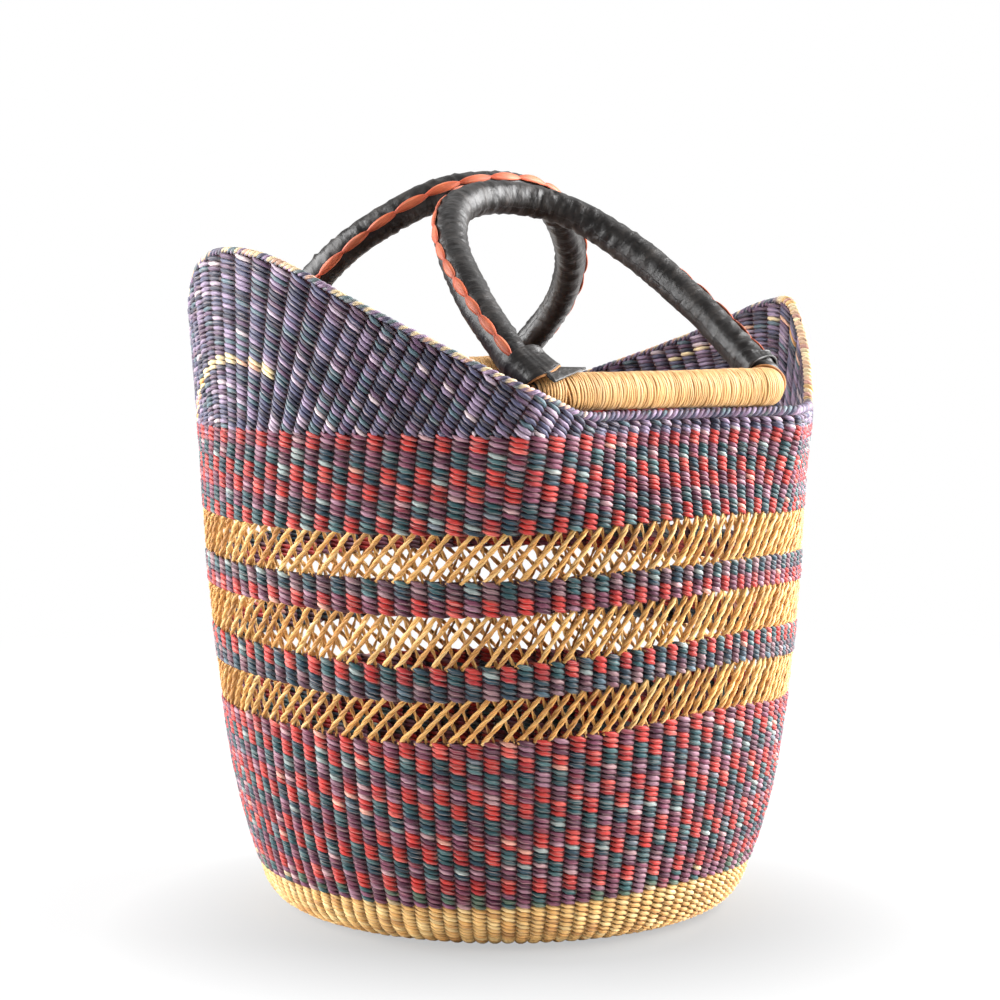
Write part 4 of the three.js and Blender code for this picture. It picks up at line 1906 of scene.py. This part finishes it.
    def shape_keeper(self, obj: bpy.types.Object, band: LegBand) -> None:
        """Square a keeper slightly, flare its edges, cut the sleeve's foot and press the tuck hole.

        Args:
            obj: The keeper, or the ring of its raw edge.
            band: Place of the keeper.
        """
        sleeve = self.is_sleeve(band.side)
        back = band.turn.inverted()
        for vertex in obj.data.vertices:
            local = back @ (vertex.co - Vector(band.middle))
            angle = math.atan2(local.y, local.x)
            t = local.z / band.length
            square = -0.9 * MM * math.cos(4 * angle + 0.6)
            flare = 0.7 * MM * (2 * abs(t)) ** 3
            rim = 1.6 * MM * math.sin(2 * angle + band.side) * (2 * t)
            hole = 2.4 * MM * math.exp(-((angle + 1.15) ** 2 / 0.02 + (t - 0.16) ** 2 / 0.014))
            radius = math.hypot(local.x, local.y)
            factor = (radius + square + flare - (hole if sleeve else 0)) / radius
            lower = min(max(-2 * t, 0.0), 1.0) if sleeve else 0.0
            cut = lower * (4 * math.sin(angle) + 2 * math.cos(angle)) * MM
            moved = Vector((local.x * factor, local.y * factor, local.z + rim * abs(2 * t) + cut))
            vertex.co = band.turn @ moved + Vector(band.middle)

    def note_lie(self, obj: bpy.types.Object, band: LegBand) -> None:
        """Note the length along and round the leg at each point of a band.

        Args:
            obj: The piece.
            band: Place of the band.
        """
        back = band.turn.inverted()
        lie = []
        for vertex in obj.data.vertices:
            local = back @ (vertex.co - Vector(band.middle))
            lie.append((local.z, math.atan2(local.y, local.x) * self.leather_radius))
        set_attribute(obj.data, "grain", "FLOAT_VECTOR", "vector", np.array(lie), 0.0)

    def straw_end(self, side: int) -> None:
        """Wind the last turns of straw over an elbow.

        Args:
            side: 1 for the right elbow and -1 for the left one.
        """
        end = STRAW_ENDS[side]
        start = (self.shape.half_span - self.path.elbow - 1.2 * MM) * side
        per_turn, lots_per_turn = 28, 4
        n = end.turns * per_turn
        t = np.linspace(0, 1, n)
        radius = 0.4 * MM + 10.6 * MM * (1 - t**end.blunt) ** (1 / 2.2)
        phase = side * TURN * end.turns * t
        out = np.stack([0 * t, np.cos(phase), np.sin(phase)], -1)
        centre = out * radius[:, None]
        centre[:, 0] = start + side * end.reach * t
        lots = DyePot(self.straw_seed + side).draw(Dye.BINDING, end.turns * lots_per_turn)
        dye = np.repeat(lots, per_turn // lots_per_turn, axis=0)[:n]
        half = np.full(n, 1.05 * MM)
        obj = strand_piece(f"{self.shape.body}_{end.word}_straw_end", centre, out, half * 0.8, half, dye)
        self.place(obj)
        finish_piece(obj, self.straw, self.shape.body, [])


@dataclass
class RodBinding:
    """Fine straw wound side by side round a handle's rod on the rim."""

    shape: HandleShape
    straw: bpy.types.Material
    under: bpy.types.Material
    pitch: float = 1.35 * MM
    half_strand: float = 1.0 * MM
    per_turn: int = 28
    seed: int = 101

    def build(self) -> None:
        """Make the solid under the turns and the turns."""
        node = f"{self.shape.name}_rim_binding"
        low, high = span_of(node, 0)
        self.under_layer(node, low, high)
        self.turns(node, low, high)

    def under_layer(self, node: str, low: float, high: float) -> None:
        """Make the bundle that the turns lie on. Its darker orange-brown is partly painted shade for the
        gaps between the turns.

        Args:
            node: CAD node of the binding.
            low: Its lowest x.
            high: Its highest x.
        """
        middle = SHAPE.rod_point(self.shape.side, (low + high) / 2)
        deselect_all()
        bpy.ops.mesh.primitive_cylinder_add(
            vertices=40, radius=SHAPE.binding_radius - 1.5 * MM, depth=high - low, location=middle,
            rotation=(0, TURN / 4, 0),
        )
        obj = named_object(f"{node}_under_layer")
        round_edges(obj, 1 * MM, 3, 40)
        finish_piece(obj, self.under, BASKET, [node])

    def turns(self, node: str, low: float, high: float) -> None:
        """Wind the straw.

        Args:
            node: CAD node of the binding.
            low: Its lowest x.
            high: Its highest x.
        """
        turns = round((high - low) / self.pitch)
        t = np.linspace(0, 1, turns * self.per_turn)
        pot = DyePot(self.seed + self.shape.side)
        swell = np.interp(t * turns, np.arange(turns + 1), pot.wander(turns + 1, 1.0))
        phase = TURN * turns * t
        end_swell = 0.4 * MM * np.exp(-((t - 1) ** 2) / 0.03)
        r = SHAPE.binding_radius - 0.9 * MM + 0.2 * MM * swell + end_swell
        r = r + 0.15 * MM * np.sin(2 * phase + 5 * t)
        out = np.stack([0 * t, np.cos(phase), np.sin(phase)], -1)
        centre = out * r[:, None] + np.array(SHAPE.rod_point(self.shape.side, 0))
        start = np.interp(t * turns, np.arange(turns + 1), pot.wander(turns + 1, TURN))
        loose = np.exp(-((t * (high - low) / (14 * MM)) ** 2)) if self.shape.side < 0 else 0 * t
        slow, quick = np.sin(phase + 2.4 + 0.8 * swell), np.sin(3 * phase + start)
        waves = (1.1 + 1.8 * loose) * slow + 0.3 * quick
        centre[:, 0] = low + (high - low) * t + MM * waves
        lots = turns * 3
        dye = pot.draw(Dye.BINDING, lots)[np.minimum((t * lots).astype(int), lots - 1)]
        half = self.half_strand * (1 + 0.1 * swell) * (1 - 0.36 * loose)
        obj = strand_piece(f"{node}_turns", centre, out, half * 0.62, half, dye)
        finish_piece(obj, self.straw, BASKET, [node])


# Studio


@dataclass(frozen=True)
class Lamp:
    """One soft round lamp that looks at the basket, with its power in watts."""

    name: str
    place: Point
    size: float
    power: float


@dataclass
class Studio:
    """Pale floor, white surroundings, soft lamps and the camera of the photograph."""

    focal: float = 89.9
    camera_place: Point = (-0.8558, -1.3179, 0.378)
    pitch: float = 85.52
    azimuth: float = -33.0
    shift: tuple[float, float] = (-0.0046, -0.0069)
    ambient: float = 0.06
    sheen: float = 0.2
    aim: Point = (0, 0, 0.2)
    floor_size: float = 12
    paper: tuple[float, ...] = (0.72, 0.7, 0.685, 1)
    shaded_paper: tuple[float, ...] = (0.1, 0.102, 0.103, 1)
    # place, reach and glow of the painted shadow on the floor
    shadow_spot: Point = (-0.02, -0.075, 0)
    shadow_reach: tuple[float, float] = (0.1, 0.27)
    shadow_glow: tuple[float, float] = (0.5, 0.86)
    white_reach: tuple[float, float] = (0.25, 1.3)
    lamps: tuple[Lamp, ...] = (
        Lamp("left", (-1.68, 1.14, 0.85), size=2.4, power=146),
        Lamp("right", (1.81, -0.88, 1.2), size=2.5, power=248),
        Lamp("back", (0.75, 1.05, 1.9), size=1.8, power=6),
    )

    def build(self) -> None:
        """Set up everything that isn't the object."""
        self.camera()
        self.floor()
        self.world()
        for lamp in self.lamps:
            self.add_lamp(lamp)
        bpy.context.scene.view_settings.view_transform = "Standard"

    def camera(self) -> None:
        """Place the camera."""
        data = bpy.data.cameras.new("photo_camera")
        data.lens, data.sensor_width = self.focal, 36.0
        data.shift_x, data.shift_y = self.shift
        obj = bpy.data.objects.new("photo_camera", data)
        obj.location = self.camera_place
        obj.rotation_euler = (math.radians(self.pitch), 0, math.radians(self.azimuth))
        bpy.context.scene.collection.objects.link(obj)
        bpy.context.scene.camera = obj

    def add_lamp(self, lamp: Lamp) -> None:
        """Add one lamp.

        Args:
            lamp: Its place, size and power.
        """
        data = bpy.data.lights.new(lamp.name, "AREA")
        data.shape, data.size, data.energy = "DISK", lamp.size, lamp.power
        obj = bpy.data.objects.new(lamp.name, data)
        obj.location = lamp.place
        obj.rotation_euler = (Vector(self.aim) - Vector(lamp.place)).to_track_quat("-Z", "Y").to_euler()
        bpy.context.scene.collection.objects.link(obj)

    def floor(self) -> None:
        """Add the floor, which turns to plain white away from the basket and has a painted shadow round a
        spot in front of it.
        """
        deselect_all()
        bpy.ops.mesh.primitive_plane_add(size=self.floor_size, location=(0, 0, 0))
        obj = bpy.context.object
        obj.name = "floor"
        material, tree, shader, place = new_material("pale_floor")
        tree.nodes.remove(shader)
        away = add_node(tree, "ShaderNodeVectorMath", {0: place}, operation="LENGTH").outputs["Value"]
        spot = {0: place, 1: self.shadow_spot}
        beside = add_node(tree, "ShaderNodeVectorMath", spot, operation="DISTANCE").outputs["Value"]
        share = map_range(tree, away, 0.0, 1.0, self.white_reach)
        paper = add_node(tree, "ShaderNodeBsdfDiffuse", {"Color": self.paper}).outputs[0]
        shaded = add_node(tree, "ShaderNodeBsdfDiffuse", {"Color": self.shaded_paper}).outputs[0]
        # Painted shadow: the floor's glow is dimmer near the spot in front of the base.
        dim = map_range(tree, beside, *self.shadow_glow, self.shadow_reach)
        glow = add_node(tree, "ShaderNodeEmission", {"Strength": dim}).outputs[0]
        near = add_node(tree, "ShaderNodeAddShader", {0: shaded, 1: glow}).outputs[0]
        white = add_node(tree, "ShaderNodeEmission", {"Strength": 1.0}).outputs[0]
        seen = add_node(tree, "ShaderNodeMixShader", {0: share, 1: near, 2: white}).outputs[0]
        ray = add_node(tree, "ShaderNodeLightPath").outputs["Is Camera Ray"]
        both = add_node(tree, "ShaderNodeMixShader", {0: ray, 1: paper, 2: seen}).outputs[0]
        tree.links.new(both, tree.nodes["Material Output"].inputs["Surface"])
        obj.data.materials.append(material)

    def world(self) -> None:
        """Make the surroundings white to the camera, and a soft light on the object."""
        world = bpy.data.worlds.new("studio")
        world.use_nodes = True
        bpy.context.scene.world = world
        tree = world.node_tree
        tree.nodes.clear()
        path = add_node(tree, "ShaderNodeLightPath")
        rays = {0: path.outputs["Is Camera Ray"], 1: path.outputs["Is Transmission Ray"]}
        seen = add_node(tree, "ShaderNodeMath", rays, operation="MAXIMUM").outputs[0]
        strength = map_range(tree, path.outputs["Is Glossy Ray"], self.ambient, self.sheen, (0, 1))
        soft = add_node(tree, "ShaderNodeBackground", {"Color": (1, 1, 1, 1), "Strength": strength})
        white = add_node(tree, "ShaderNodeBackground", {"Color": (1, 1, 1, 1), "Strength": 1.0})
        mix = add_node(tree, "ShaderNodeMixShader", {0: seen, 1: soft.outputs[0], 2: white.outputs[0]})
        output = add_node(tree, "ShaderNodeOutputWorld")
        tree.links.new(mix.outputs[0], output.inputs["Surface"])


def main() -> None:
    """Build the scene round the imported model."""
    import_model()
    Studio().build()
    grass = DyedGrass("dyed_twined_grass").build()
    straw = DyedGrass("natural_twined_straw", contrast=0.26, pale="#ecd3a0").build()
    winding = DyedGrass("wound_straw", contrast=0.2, fibre=0.3 * MM, pale="#e2c48c").build()
    leather = SoftLeather("charcoal_goatskin").build()
    thong = DyedGrass("orange_thong", fibre=1.2 * MM, contrast=0.2, pale="#e3a17e", dust=0.1).build()
    raw_edge = SoftLeather(
        "raw_leather_edge", colour="#a8703c", rubbed="#c08a58", deep="#7a4a28", roughness=0.7
    ).build()
    # The under layer's darker orange-brown is partly the bundle's own colour and partly painted shade for
    # the gaps between the straw turns.
    under = GrassBundle(
        "straw_under_layer", colour="#b07c3c", dark="#6e4820", stem=1.7 * MM, stem_length=1.7 * MM
    ).build()
    ring = GrassBundle("grass_ring").build()
    WovenBase(straw).build()
    TwinedWall(grass).build()
    Openwork(straw).build()
    WingWeave(grass).build()
    RimBorder(grass).build()
    for shape in (NEAR, FAR):
        RodBinding(shape, winding, under).build()
        Handle(shape, leather, thong, raw_edge, winding, ring).build()


if __name__ == "__main__":
    main()
